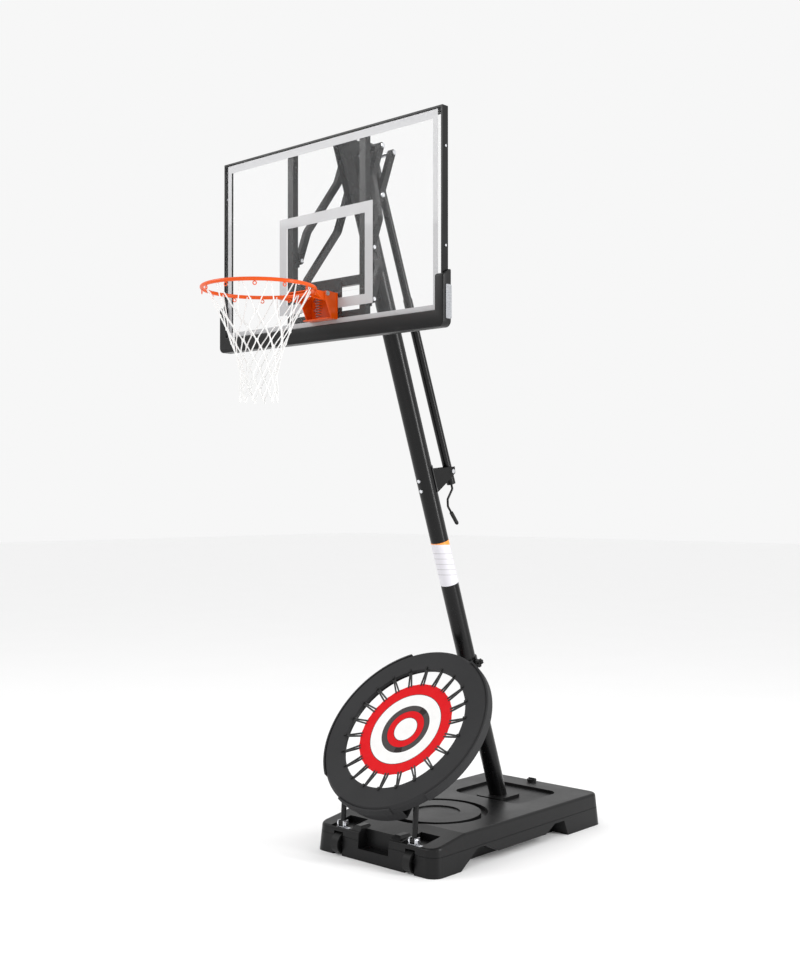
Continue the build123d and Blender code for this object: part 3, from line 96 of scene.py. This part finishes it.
# %% A socket that can be added and multiplied
class Field:
    """One value that varies over a surface, as a socket in a material's node tree."""

    def __init__(self, socket):
        self.socket = socket

    def maths(self, operation, other=None, turned=False):
        tree = self.socket.id_data
        node = tree.nodes.new("ShaderNodeMath")
        node.operation = operation
        first, second = (other, self) if turned else (self, other)
        for slot, item in ((0, first), (1, second)):
            if isinstance(item, Field):
                tree.links.new(item.socket, node.inputs[slot])
            elif item is not None:
                node.inputs[slot].default_value = item
        return Field(node.outputs[0])

    def __add__(self, other): return self.maths("ADD", other)
    def __radd__(self, other): return self.maths("ADD", other)
    def __sub__(self, other): return self.maths("SUBTRACT", other)
    def __rsub__(self, other): return self.maths("SUBTRACT", other, True)
    def __mul__(self, other): return self.maths("MULTIPLY", other)
    def __rmul__(self, other): return self.maths("MULTIPLY", other)
    def __truediv__(self, other): return self.maths("DIVIDE", other)
    def __rtruediv__(self, other): return self.maths("DIVIDE", other, True)
    def __gt__(self, other): return self.maths("GREATER_THAN", other)
    def __lt__(self, other): return self.maths("LESS_THAN", other)
    def sine(self): return self.maths("SINE")
    def size(self): return self.maths("ABSOLUTE")
    def angle_to(self, other): return self.maths("ARCTAN2", other)
    def power(self, other): return self.maths("POWER", other)


# %% A finish, with its shader and its patterns
class Finish:
    """A material whose Principled shader takes plain values or Fields."""

    def __init__(self, name, **values):
        self.material = bpy.data.materials.new(name)
        self.material.use_nodes = True
        self.tree = self.material.node_tree
        self.shader = self.tree.nodes["Principled BSDF"]
        for socket, value in values.items():
            self.set(socket.replace("_", " "), value)

    def set(self, socket, value):
        target = self.shader.inputs[socket]
        if isinstance(value, Field):
            self.tree.links.new(value.socket, target)
        else:
            target.default_value = (*value, 1.0) if isinstance(value, tuple) else value

    def node(self, kind, output=0, inputs=(), **settings):
        """A node of one kind: its settings go in first, then values or links for its inputs."""
        made = self.tree.nodes.new(kind)
        for key, value in settings.items():
            setattr(made, key, value)
        for slot, value in dict(inputs).items():
            if isinstance(value, Field):
                self.tree.links.new(value.socket, made.inputs[slot])
            else:
                made.inputs[slot].default_value = value
        return Field(made.outputs[output])

    def place(self, centre=(0, 0, 0), turn=(0, 0, 0), scale=(1, 1, 1)):
        """Object coordinates, moved and turned so that a pattern starts at centre."""
        where = self.node("ShaderNodeTexCoord", "Object")
        return self.node("ShaderNodeMapping", 0, {0: where, 1: centre, 2: turn, 3: scale},
                         vector_type="TEXTURE")

    def split(self, where):
        """The three coordinates of a place."""
        return [self.node("ShaderNodeSeparateXYZ", axis, {0: where}) for axis in range(3)]

    def noise(self, where, scale, detail=3.0, rough=0.5):
        return self.node("ShaderNodeTexNoise", 0, {"Vector": where, "Scale": scale, "Detail": detail,
                                                   "Roughness": rough})

    def range(self, value, low, high, to_low, to_high):
        """Value between low and high, spread over to_low to to_high."""
        return self.node("ShaderNodeMapRange", 0, {0: value, 1: low, 2: high, 3: to_low, 4: to_high})

    def mix(self, share, first, second):
        """The first colour where share is 0 and the second where it is 1."""
        first, second = [c if isinstance(c, Field) else (*c, 1.0) for c in (first, second)]
        return self.node("ShaderNodeMix", 2, {0: share, 6: first, 7: second}, data_type="RGBA")

    def bump(self, height, depth, strength=1.0):
        ripple = {"Height": height, "Distance": depth, "Strength": strength}
        self.set("Normal", self.node("ShaderNodeBump", 0, ripple))


print("shader helpers ready")

# %% [markdown]
# ## Moulded black plastic
# The base tank and the wheels are blow-moulded polyethylene. The mould is sand-blasted, so the
# skin has a fine pebble that breaks up the shine, and handling leaves faint paler scuffs. Two
# sizes of noise do both: a small one for the pebble and a large one for the wear.

# %% Moulded plastic
def moulded(name, colour, rough, pebble=700.0, depth=0.00025, wear=0.5):
    skin = Finish(name, Specular_IOR_Level=0.22)
    where = skin.place()
    cloud = skin.noise(where, 3.0, 5.0, 0.6)
    scuff = skin.range(skin.noise(skin.place(scale=(1, 0.08, 1)), 60.0, 4.0, 0.7), 0.62, 0.78, 0.0, wear)
    paler = tuple(min(1.0, c * 1.7 + 0.012) for c in colour)
    skin.set("Base Color", skin.mix(scuff * cloud, colour, paler))
    skin.set("Roughness", skin.range(cloud, 0.3, 0.7, rough - 0.06, rough + 0.07))
    skin.bump(skin.noise(where, pebble, 2.0, 0.5) + scuff * 0.15, depth, 0.35)
    return skin.material


base_black = moulded("base_black_plastic", (0.005, 0.005, 0.0053), 0.36)
cap_black = moulded("cap_black_plastic", (0.008, 0.008, 0.008), 0.36, 1100.0)
wheel_black = moulded("wheel_black_plastic", (0.008, 0.008, 0.008), 0.45, 900.0)
ring_grey = moulded("ring_dark_grey_plastic", (0.021, 0.021, 0.022), 0.62, 1500.0, 0.0004, 0.35)
print("plastics", base_black.name, cap_black.name, wheel_black.name, ring_grey.name)

# %% [markdown]
# ## Powder-coated steel
# The poles, arms and board frame are black powder coat, and the rim is orange. Powder melts into
# a thick, glossy skin with a soft ripple known as orange peel. A clear Coat layer gives the deep
# shine, and a gentle bump gives the ripple.

# %% Powder coat
def powder_coat(name, colour, rough, coat):
    skin = Finish(name, Coat_Weight=coat, Coat_Roughness=0.12, Specular_IOR_Level=0.2)
    where = skin.place()
    peel = skin.noise(where, 420.0, 2.0, 0.4)
    dust = skin.noise(where, 7.0, 4.0, 0.6)
    nick = skin.range(skin.noise(where, 95.0, 5.0, 0.75), 0.70, 0.80, 0.0, 0.4)
    faded = tuple(c * 0.8 + 0.01 for c in colour)
    skin.set("Base Color", skin.mix(nick * dust, colour, faded))
    skin.set("Roughness", skin.range(dust, 0.3, 0.7, rough - 0.05, rough + 0.06))
    skin.bump(peel, 0.0002, 0.3)
    return skin.material


black_coat = powder_coat("black_powder_coat", (0.0028, 0.0028, 0.003), 0.28, 0.10)
orange_coat = powder_coat("orange_powder_coat", (0.72, 0.082, 0.001), 0.34, 0.2)
print("coats", black_coat.name, orange_coat.name)

# %% [markdown]
# ## Bare and plated metal
# Bolts, axles and pins are zinc plated: bright, slightly blue, with a faint cloudiness. The side
# plates are brushed, so their fine lines run one way. Stretched noise makes the brushing.

# %% Metals
def metal(name, colour, rough, brush=(1, 1, 1), grain=260.0):
    skin = Finish(name, Metallic=1.0)
    lines = skin.noise(skin.place(scale=brush), grain, 3.0, 0.6)
    cloud = skin.noise(skin.place(), 30.0, 3.0, 0.6)
    darker = tuple(c * 0.72 for c in colour)
    skin.set("Base Color", skin.mix(cloud * 0.7, colour, darker))
    skin.set("Roughness", skin.range(lines, 0.3, 0.7, rough - 0.08, rough + 0.1))
    skin.bump(lines, 0.00008, 0.4)
    return skin.material


zinc = metal("zinc_plate", (0.78, 0.79, 0.82), 0.26)
brushed = metal("brushed_side_metal", (0.42, 0.43, 0.45), 0.30, (1, 12, 1), 900.0)
oiled = metal("oiled_spring_steel", (0.30, 0.30, 0.32), 0.35)
print("metals", zinc.name, brushed.name, oiled.name)

# %% [markdown]
# ## Clear board, rubber, nylon and water
# The board is clear acrylic. It hides almost nothing, so it is made by Alpha: a thin grey veil
# with a sharp reflection, and hairline scratches that only change the roughness. The bushes are
# natural nylon, and the ballast, which a closed tank hides, is water.

# %% Acrylic
def acrylic():
    skin = Finish("clear_acrylic", Base_Color=(0.80, 0.81, 0.82), IOR=1.49, Specular_IOR_Level=0.25)
    where = skin.place(scale=(1, 1, 0.05))
    scratch = skin.range(skin.noise(where, 300.0, 4.0, 0.7), 0.66, 0.74, 0.0, 1.0)
    haze = skin.noise(skin.place(), 2.0, 3.0, 0.5)
    skin.set("Roughness", skin.range(haze, 0.3, 0.7, 0.02, 0.06) + scratch * 0.15)
    skin.set("Alpha", scratch * 0.02 + haze * 0.02 + 0.02)
    return skin.material


clear_acrylic = acrylic()
print("board", clear_acrylic.name)


# %% Rubber, nylon and water
def plain_skin(name, colour, rough, scale, depth, shade=0.8):
    skin = Finish(name, Specular_IOR_Level=0.25)
    where = skin.place()
    patch = skin.noise(where, scale * 0.05, 4.0, 0.6)
    skin.set("Base Color", skin.mix(patch, colour, tuple(c * shade for c in colour)))
    skin.set("Roughness", skin.range(patch, 0.3, 0.7, rough - 0.05, rough + 0.05))
    skin.bump(skin.noise(where, scale, 3.0, 0.6), depth, 0.5)
    return skin.material


grip_rubber = plain_skin("grip_rubber", (0.016, 0.016, 0.016), 0.62, 900.0, 0.0004)
nylon = plain_skin("natural_nylon", (0.78, 0.75, 0.68), 0.42, 500.0, 0.0001, 0.9)
water = plain_skin("ballast_water", (0.42, 0.56, 0.62), 0.08, 8.0, 0.002)
print("others", grip_rubber.name, nylon.name, water.name)

# %% [markdown]
# ## The height label
# A sticker on the pole shows the height settings. Here it is left plain, with nothing to read: an
# orange head band, a pale field and a few grey rules. All are placed by their height in the
# label's own box, as a share of it.

# %% Label
HEAD_START = 0.88
RULES_BETWEEN = (0.2, 0.74)
RULE_PITCHES = 9.0                # rules that the label's whole height would hold
HEAD_ORANGE = (0.85, 0.27, 0.02)
RULE_GREY = (0.3, 0.3, 0.3)


def label_sticker():
    low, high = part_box("height_label")
    skin = Finish("label_sticker", Coat_Weight=0.3)
    height = skin.split(skin.place(centre=(0, 0, low.z), scale=(1, 1, high.z - low.z)))[2]
    rule = (height * RULE_PITCHES * 2 * pi).sine() > 0.93
    rule = rule * (height < RULES_BETWEEN[1]) * (height > RULES_BETWEEN[0])
    tint = skin.noise(skin.place(), 40.0, 3.0, 0.6)
    paper = skin.mix(tint * 0.3, (0.66, 0.65, 0.69), (0.56, 0.55, 0.59))
    field = skin.mix(rule * 0.6, paper, RULE_GREY)
    skin.set("Base Color", skin.mix(height > HEAD_START, field, HEAD_ORANGE))
    skin.set("Roughness", skin.range(tint, 0.3, 0.7, 0.36, 0.46))
    skin.bump(skin.noise(skin.place(), 700.0, 2.0, 0.5), 0.0001, 0.3)
    return skin.material


label_print = label_sticker()
print("label", label_print.name)

# %% [markdown]
# ## Give every part its finish
# The CAD record says which finish each part has. A part's object has one material slot, so its
# finish goes in with one assignment.

# %% Assign the finishes
FINISHES = {
    "base_plastic": cap_black, "wheel_plastic": wheel_black, "ring_plastic": ring_grey,
    "black_steel": black_coat, "rim_orange": orange_coat, "zinc": zinc, "side_metal": brushed,
    "spring_steel": oiled, "label": label_print, "panel": clear_acrylic, "ballast": water,
    "grip_rubber": grip_rubber, "nylon": nylon, "pad": base_black, "net_cord": nylon,
    "mat_fabric": nylon, "bungee": grip_rubber,
}
for part in frame["record"]["subparts"]:
    for slot in frame["nodes"][part["node"]].material_slots:
        slot.material = FINISHES[part["material_slot"]]
for slot in frame["nodes"]["base_tank"].material_slots:
    slot.material = base_black

# %% [markdown]
# ## Working helpers
# Every operator acts on what is selected, so each piece starts with nothing selected. A finished
# piece has its place in its mesh, with its object at the origin, as the CAD parts do.

# %% Select, apply and finish
def deselect():
    bpy.ops.object.select_all(action="DESELECT")


def only(piece):
    """Leaves one piece selected and active."""
    deselect()
    piece.select_set(True)
    bpy.context.view_layer.objects.active = piece


def apply_modifiers(piece):
    only(piece)
    for modifier in list(piece.modifiers):
        bpy.ops.object.modifier_apply(modifier=modifier.name)


def finish_piece(piece, name, material, body, angle):
    """Applies place and modifiers, smooths edges under angle degrees, gives the finish and body."""
    only(piece)
    bpy.ops.object.transform_apply(location=True, rotation=True, scale=True)
    apply_modifiers(piece)
    bpy.ops.object.shade_smooth_by_angle(angle=radians(angle))
    piece.name = piece.data.name = name
    piece.data.materials.clear()
    piece.data.materials.append(material)
    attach(piece, body)
    print(name, len(piece.data.polygons), "faces")
    return piece


def joined(pieces):
    """One object out of several."""
    only(pieces[0])
    for piece in pieces:
        piece.select_set(True)
    bpy.ops.object.join()
    return bpy.context.object


def cord_run(points, radius, resolution=5):
    """A smooth NURBS cord through the neighbourhood of its points, made a mesh."""
    curve = bpy.data.curves.new("run", "CURVE")
    curve.dimensions = "3D"
    curve.bevel_depth = radius
    curve.bevel_resolution = 2
    curve.resolution_u = resolution
    curve.use_fill_caps = True
    spline = curve.splines.new("NURBS")
    spline.points.add(len(points) - 1)
    for point, place in zip(spline.points, points):
        point.co = (*place, 1.0)
    spline.order_u = 3
    spline.use_endpoint_u = True
    run = bpy.data.objects.new("run", curve)
    bpy.context.scene.collection.objects.link(run)
    only(run)
    bpy.ops.object.convert(target="MESH")
    return bpy.context.object


def copies_around(piece, count, centre):
    """Copies of piece, each with its own mesh, turned about the vertical through centre."""
    made = [piece]
    for number in range(1, count):
        copy = piece.copy()
        copy.data = piece.data.copy()
        bpy.context.scene.collection.objects.link(copy)
        turn = Matrix.Rotation(2 * pi * number / count, 4, "Z")
        copy.data.transform(Matrix.Translation(centre) @ turn @ Matrix.Translation(-centre))
        made.append(copy)
    return joined(made)


print("helpers ready")

# %% [markdown]
# ## The net
# A net is braided nylon cord, knotted into diamonds. From each hook two strands run down, one to
# each side. At every knot row they meet the strands of the next hooks and turn back, so a strand
# is a zigzag round the ring. The top runs are long, and the sleeve narrows, then opens a little
# at the bottom. One zigzag and its mirror are made, then copied round the ring's twelve hooks.

# %% Net strands
HOOKS = 12
HOOK_TURN = 2 * pi / HOOKS
NET_LOW, NET_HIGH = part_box("net")
RIM_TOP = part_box("rim_ring")[1].z
NET_ORIGIN = Vector((0.0, (NET_LOW.y + NET_HIGH.y) / 2, RIM_TOP - 0.008))   # drops start here
NET_DROPS = (0.018, 0.128, 0.186, 0.240, 0.290, 0.338, 0.384, 0.430, 0.474)  # hooks, then knots
NET_SHAPE = ((0.018, 0.221), (0.130, 0.158), (0.262, 0.105), (0.362, 0.077), (0.490, 0.081))
CORD_RADIUS = 0.0026
TAIL = 0.014                      # how far the cords run on below the last knots


def net_radius(drop):
    """The net's radius at a drop, on straight lines between the (drop, radius) pairs."""
    for (a, r), (b, s) in zip(NET_SHAPE, NET_SHAPE[1:]):
        if drop <= b:
            return r + (s - r) * (drop - a) / (b - a)
    return NET_SHAPE[-1][1]


def on_net(drop, turn, out=0.0):
    radius = net_radius(drop) + out
    return NET_ORIGIN + Vector((radius * cos(turn), radius * sin(turn), -drop))


def strand(side):
    """One zigzag: side is 1 or -1, and says which way its first run leans."""
    points = []
    for row, drop in enumerate(NET_DROPS):
        turn = side * HOOK_TURN / 2 * (0.88 if row % 2 else 0.12)
        gap = 0.008 if row else 0.004
        points += [on_net(level, turn, side * CORD_RADIUS * 0.5) for level in (drop - gap, drop + gap)]
    points.append(on_net(NET_DROPS[-1] + TAIL, side * HOOK_TURN * 0.04))
    return cord_run(points, CORD_RADIUS, resolution=3)


strands = joined([copies_around(strand(side), HOOKS, NET_ORIGIN) for side in (1, -1)])
print("strands", len(strands.data.polygons), "faces")

# %% [markdown]
# ## Knots of the net
# Where two strands meet, one is wrapped round the other. At this size a knot reads as a small
# lump that is longer than it is wide, with a waist. An ico sphere is a good start, because it has
# few faces and no poles: its middle is pulled in, and it is stretched along the net.

# %% Net knots
KNOT_RADIUS = 0.0052


def knot():
    deselect()
    bpy.ops.mesh.primitive_ico_sphere_add(subdivisions=2, radius=KNOT_RADIUS)
    lump = bpy.context.object
    bpy.ops.object.mode_set(mode="EDIT")
    mesh = bmesh.from_edit_mesh(lump.data)
    for vertex in mesh.verts:
        waist = 0.78 + 0.22 * abs(vertex.co.z) / KNOT_RADIUS
        vertex.co.x *= waist
        vertex.co.y *= waist
        vertex.co.z *= 1.55
    bmesh.update_edit_mesh(lump.data)
    bpy.ops.object.mode_set(mode="OBJECT")
    return lump


rows = []
for row, drop in enumerate(NET_DROPS[1:], 1):
    lump = knot()
    lump.data.transform(Matrix.Translation(on_net(drop, HOOK_TURN / 2 * (row % 2))))
    rows.append(copies_around(lump, HOOKS, NET_ORIGIN))
knots = joined(rows)
print("knot rows", len(rows))

# %% Braided cord
def braid(name, colour, rough, pitch, shade):
    """Fine crossing ridges, as on a braided cord, with painted shade in the valleys."""
    skin = Finish(name, Sheen_Weight=0.25)
    x, y, z = skin.split(skin.place())
    rise = ((z + x * 0.7 + y * 0.7) * pitch).sine()
    fall = ((z - x * 0.7 - y * 0.7) * pitch).sine()
    plait = (rise * fall + 1.0) * 0.5
    fuzz = skin.noise(skin.place(), 500.0, 3.0, 0.6)
    # Painted shade: where the plait is low, in the valleys between ridges, the colour is darkened.
    skin.set("Base Color", skin.mix(plait * 0.6 + fuzz * 0.2, tuple(c * shade for c in colour), colour))
    skin.set("Roughness", skin.range(fuzz, 0.3, 0.7, rough - 0.05, rough + 0.08))
    skin.bump(plait + fuzz * 0.4, 0.0005, 0.6)
    return skin.material


white_cord = braid("white_net_cord", (0.90, 0.90, 0.89), 0.72, 1500.0, 0.80)
net = finish_piece(joined([strands, knots]), "net_cords", white_cord, "rim", 60)
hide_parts("net")

# %% [markdown]
# ## The rebounder's mat
# The mat is a round of woven polypropylene, hemmed at the edge and pulled flat by elastic cords.
# It is a disc of many rings, so that the middle can sag by a few millimetres, and each cord
# draws a small scallop in the edge. Solidify gives the cloth and its hem their thickness.

# %% Mat
DISC_TILT = radians(48.2)
MAT_LOW, MAT_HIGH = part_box("rebounder_mat")
MAT_RADIUS = (MAT_HIGH.x - MAT_LOW.x) / 2
MAT_CENTRE = (MAT_LOW + MAT_HIGH) / 2
CORDS = 22
DISC = Matrix.Translation(MAT_CENTRE) @ Matrix.Rotation(DISC_TILT, 4, "X")


def mat_sheet(sag=0.006, scallop=0.012):
    """The cloth: it sags in the middle, and its edge is drawn in between the cords."""
    deselect()
    bpy.ops.mesh.primitive_circle_add(vertices=CORDS * 8, radius=MAT_RADIUS, fill_type="NGON")
    disc = bpy.context.object
    bpy.ops.object.mode_set(mode="EDIT")
    for width in (0.003, 0.010, 0.003):
        bpy.ops.mesh.inset(thickness=width)
    for _ in range(9):
        bpy.ops.mesh.inset(thickness=MAT_RADIUS * 0.1)
    bpy.ops.mesh.merge(type="CENTER")
    mesh = bmesh.from_edit_mesh(disc.data)
    for vertex in mesh.verts:
        share = vertex.co.xy.length / MAT_RADIUS
        turn = Vector((1, 0)).angle_signed(vertex.co.xy, 0.0) if share > 0.01 else 0.0
        pull = (0.5 + 0.5 * cos(CORDS * turn)) * max(0.0, share - 0.8) / 0.2
        vertex.co.xy *= 1.0 - scallop * (1.0 - pull) * (share > 0.8)
        vertex.co.z -= sag * (1.0 - share ** 2)
    bmesh.update_edit_mesh(disc.data)
    bpy.ops.object.mode_set(mode="OBJECT")
    disc.modifiers.new("cloth", "SOLIDIFY").thickness = 0.0016
    disc.data.transform(DISC)
    return disc


# %% [markdown]
# ## Target rings on the mat
# The print is rings round the centre. The pattern is turned into the mat's own plane, and the
# distance from its middle picks the colour. The weave is two crossed ripples in the same plane.

# %% Printed weave
MAT_WHITE = (0.88, 0.88, 0.87)
MAT_GREY = (0.055, 0.055, 0.055)
# Each ring is its outer edge, as a share of the mat's radius, and its colour.
MAT_RINGS = ((0.25, MAT_WHITE), (0.40, (0.66, 0.0015, 0.006)), (0.51, MAT_GREY), (0.76, MAT_WHITE),
             (1.10, (0.68, 0.0015, 0.006)))
GREY_RING = (MAT_RINGS[1][0], MAT_RINGS[2][0])
BLOCK_TURNS = (65, -79)           # darker blocks on the grey ring, in degrees
HALF_BLOCK = 10


def target_print():
    skin = Finish("printed_mat_weave", Sheen_Weight=0.04, Specular_IOR_Level=0.15)
    x, y, _ = skin.split(skin.place(MAT_CENTRE, (DISC_TILT, 0, 0)))
    share = (x * x + y * y).power(0.5) / MAT_RADIUS
    colour = MAT_RINGS[0][1]
    for (edge, _), (_, tone) in zip(MAT_RINGS, MAT_RINGS[1:]):
        colour = skin.mix(share > edge, colour, tone)
    turn = y.angle_to(x)
    blocks = 0.0
    for middle in BLOCK_TURNS:
        blocks = blocks + ((turn - radians(middle)).size() < radians(HALF_BLOCK))
    blocks = blocks * (share > GREY_RING[0]) * (share < GREY_RING[1])
    colour = skin.mix(blocks, colour, (0.015, 0.015, 0.015))
    for edge, _ in MAT_RINGS[:-1]:
        colour = skin.mix((share - edge).size() < 0.006, colour, (0.03, 0.03, 0.03))
    weave = (x * 2600.0).sine() * (y * 2600.0).sine()
    stitch = ((turn * 220.0).sine() > 0.2) * ((share - 0.955).size() < 0.005)
    tint = skin.noise(skin.place(), 25.0, 4.0, 0.6)
    skin.set("Base Color", skin.mix(tint * 0.12 + stitch * 0.4, colour, (0.12, 0.01, 0.01)))
    skin.set("Roughness", skin.range(tint, 0.3, 0.7, 0.62, 0.78))
    skin.bump(weave * 0.5 + stitch * 2.0, 0.0004, 0.5)
    return skin.material


mat = finish_piece(mat_sheet(), "target_mat", target_print(), "rebounder", 50)
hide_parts("rebounder_mat")

# %% [markdown]
# ## Elastic cords
# Each cord is a loop of rubber in a braided cover. It starts under the mat's hem, goes out over
# a hook on the ring's inner lip and comes back beside itself, so it looks like a narrow V. One
# loop is made on the disc's +X side, in the disc's own plane, and copied round.

# %% Elastic cords
ELASTIC_RADIUS = 0.0046


def elastic_loop():
    """Out from under the mat to the hook, round it and back, by listed points."""
    low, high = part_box("bungee_hooks")
    reach = (high.x - low.x) / 2 - 0.002
    spread = 0.008
    points = [(MAT_RADIUS - 0.010, -spread, -0.001), (MAT_RADIUS + 0.008, -spread * 0.9, 0.0),
              (reach - 0.016, -0.0035, 0.006), (reach - 0.003, -0.003, 0.009), (reach, 0.0, 0.0095),
              (reach - 0.003, 0.003, 0.009), (reach - 0.016, 0.0035, 0.006),
              (MAT_RADIUS + 0.008, spread * 0.9, 0.0), (MAT_RADIUS - 0.010, spread, -0.001)]
    return cord_run(points, ELASTIC_RADIUS)


loops = copies_around(elastic_loop(), CORDS, Vector((0, 0, 0)))
loops.data.transform(DISC)
black_cord = braid("black_elastic_cord", (0.008, 0.008, 0.008), 0.6, 1700.0, 0.4)
loops = finish_piece(loops, "elastic_cords", black_cord, "rebounder", 60)
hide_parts("rebounder_bungees")

# %% [markdown]
# ## The pad along the board's lower edge
# A foam pad guards players from the board's edge. Its skin is smooth and slightly shiny, and foam
# never has a sharp edge. The CAD solid has the right outline, so a merged copy of it is used, with
# its flat faces cleaned and every edge rounded by a bevel.

# %% Pad
def soft_pad():
    source = frame["nodes"]["bottom_pad"]
    pad = source.copy()
    pad.data = source.data.copy()
    pad.parent = None
    for key in list(pad.keys()):  # the copy isn't a CAD node
        del pad[key]
    bpy.context.scene.collection.objects.link(pad)
    only(pad)
    bpy.ops.object.mode_set(mode="EDIT")
    bpy.ops.mesh.select_all(action="SELECT")
    bpy.ops.mesh.remove_doubles(threshold=0.00005)
    bpy.ops.mesh.dissolve_limited(angle_limit=radians(1.0))
    bpy.ops.object.mode_set(mode="OBJECT")
    edge = pad.modifiers.new("edge", "BEVEL")
    edge.width = 0.005
    edge.segments = 4
    edge.limit_method = "ANGLE"
    edge.angle_limit = radians(40)
    return pad


pad_skin = plain_skin("pad_skin", (0.004, 0.004, 0.0043), 0.34, 350.0, 0.0002)
pad = finish_piece(soft_pad(), "foam_pad", pad_skin, "board", 35)
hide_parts("bottom_pad")

# %% [markdown]
# ## White lines on the board
# The lines are a frosted film on the board's face: a border round the edge and the shooter's
# square above the ring. Each line is a flat rectangle with a smaller one cut out of it. A plane
# is inset, its middle face is sized and removed, and Solidify gives the film its thickness.

# %% Film frames
PANEL_LOW, PANEL_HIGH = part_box("backboard_panel")
FILM_LIFT = 0.0001                # off the board's face
FILM_THICK = 0.0003
# Heights below are above the board's lower edge, and half widths are from its middle.
BORDER_OUT = (PANEL_HIGH.x - 0.0225, 0.0115, PANEL_HIGH.z - PANEL_LOW.z - 0.0085)
BORDER_IN = (PANEL_HIGH.x - 0.0485, 0.0735, PANEL_HIGH.z - PANEL_LOW.z - 0.0445)
SQUARE_OUT = (0.294, 0.187, 0.5585)
SQUARE_IN = (0.247, 0.1875, 0.5105)
LINE_LOW, LINE_HIGH = 0.1185, 0.162


def film_plane(start, end, low, high):
    """A flat film on the board's face, from start to end along X and low to high in Z."""
    deselect()
    middle = ((start + end) / 2, PANEL_LOW.y - FILM_LIFT, (low + high) / 2)
    bpy.ops.mesh.primitive_plane_add(size=1.0, location=middle)
    film = bpy.context.object
    film.scale = (abs(end - start), high - low, 1.0)
    film.rotation_euler = (radians(90), 0, 0)
    bpy.ops.object.transform_apply(location=True, rotation=True, scale=True)
    film.modifiers.new("film", "SOLIDIFY").thickness = FILM_THICK
    return film


def film_frame(outside, inside):
    """A flat frame: outside and inside are (half width, low, high)."""
    half, low, high = outside[0], PANEL_LOW.z + outside[1], PANEL_LOW.z + outside[2]
    film = film_plane(-half, half, low, high)
    bpy.ops.object.mode_set(mode="EDIT")
    bpy.ops.mesh.inset(thickness=0.01)
    mesh = bmesh.from_edit_mesh(film.data)
    for vertex in mesh.verts:
        if vertex.select:
            vertex.co.x = inside[0] if vertex.co.x > 0 else -inside[0]
            vertex.co.z = PANEL_LOW.z + (inside[2] if vertex.co.z > (low + high) / 2 else inside[1])
    bmesh.update_edit_mesh(film.data)
    bpy.ops.mesh.delete(type="FACE")
    bpy.ops.object.mode_set(mode="OBJECT")
    return film


def frosted_film():
    skin = Finish("frosted_white_film", Coat_Weight=0.4)
    cloud = skin.noise(skin.place(), 6.0, 4.0, 0.6)
    skin.set("Base Color", skin.mix(cloud, (0.50, 0.50, 0.51), (0.44, 0.44, 0.45)))
    skin.set("Roughness", skin.range(cloud, 0.3, 0.7, 0.30, 0.42))
    skin.set("Alpha", skin.range(cloud, 0.3, 0.7, 0.84, 0.90))
    skin.bump(skin.noise(skin.place(), 1200.0, 2.0, 0.5), 0.0001, 0.3)
    return skin.material


film_white = frosted_film()
border = film_frame(BORDER_OUT, BORDER_IN)
square = film_frame(SQUARE_OUT, SQUARE_IN)
print("films", border.name, square.name)

# %% [markdown]
# ## The square's lower line
# The orange bracket is bolted through the board in the middle of the square's lower line, so the
# film stops each side of it. A strip is a plane, bevelled at its corners, made once for each side.

# %% Lower strips
def film_strip(start, end, low, high):
    strip = film_plane(start, end, PANEL_LOW.z + low, PANEL_LOW.z + high)
    bpy.ops.object.mode_set(mode="EDIT")
    bpy.ops.mesh.bevel(offset=0.001, affect="VERTICES")
    bpy.ops.object.mode_set(mode="OBJECT")
    return strip


BRACKET_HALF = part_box("rim_mount")[1].x + 0.001
films = [border, square]
for start, end, low, high in ((BRACKET_HALF, SQUARE_OUT[0], LINE_LOW, LINE_HIGH),
                              (SQUARE_IN[0], SQUARE_OUT[0], LINE_HIGH, SQUARE_OUT[1])):
    films += [film_strip(side * start, side * end, low, high) for side in (-1, 1)]
for film in films:
    apply_modifiers(film)
lines = finish_piece(joined(films), "board_lines", film_white, "board", 30)

# %% [markdown]
# ## Floor and light
# A pale floor and a white room let the black parts show their shapes by their edges. One large
# soft light from the left is the key, a tall strip on the right draws the bright line down the
# pole and the jack, and a weak one in front fills the shadows. The Standard view transform keeps
# the room white.

# %% Floor
def pale_floor():
    skin = Finish("pale_floor")
    patch = skin.noise(skin.place(), 1.5, 3.0, 0.5)
    skin.set("Base Color", skin.mix(patch, (0.97, 0.97, 0.97), (0.95, 0.95, 0.95)))
    skin.set("Roughness", 0.85)
    return skin.material


deselect()
bpy.ops.mesh.primitive_plane_add(size=80.0, location=(0, 0, CAD_BOX[0].z - 0.0005))
floor = bpy.context.object
floor.name = "floor"
floor.data.materials.append(pale_floor())
print("floor", floor.name)

# %% Lights
def soft_light(name, place, aim, size, watts):
    data = bpy.data.lights.new(name, "AREA")
    data.shape = "RECTANGLE"
    data.size, data.size_y = size
    data.energy = watts
    light = bpy.data.objects.new(name, data)
    light.location = place
    light.rotation_euler = (Vector(aim) - Vector(place)).to_track_quat("-Z", "Y").to_euler()
    bpy.context.scene.collection.objects.link(light)


soft_light("key", (-3.5, -5.0, 5.5), (0, -0.5, 1.5), (3.0, 3.0), 120)
soft_light("right_strip", (5.0, 1.0, 2.5), (0, 0, 1.6), (0.7, 4.5), 190)
soft_light("front_fill", (2.5, -6.0, 2.0), (0, -0.6, 1.2), (3.0, 3.0), 25)
room = bpy.data.worlds.new("white_room")
room.use_nodes = True
sky = room.node_tree.nodes["Background"]
sky.inputs["Color"].default_value = (1.0, 1.0, 1.0, 1.0)
sky.inputs["Strength"].default_value = 0.93
bpy.context.scene.world = room
bpy.context.scene.view_settings.view_transform = "Standard"
print("lights", len(bpy.data.lights))
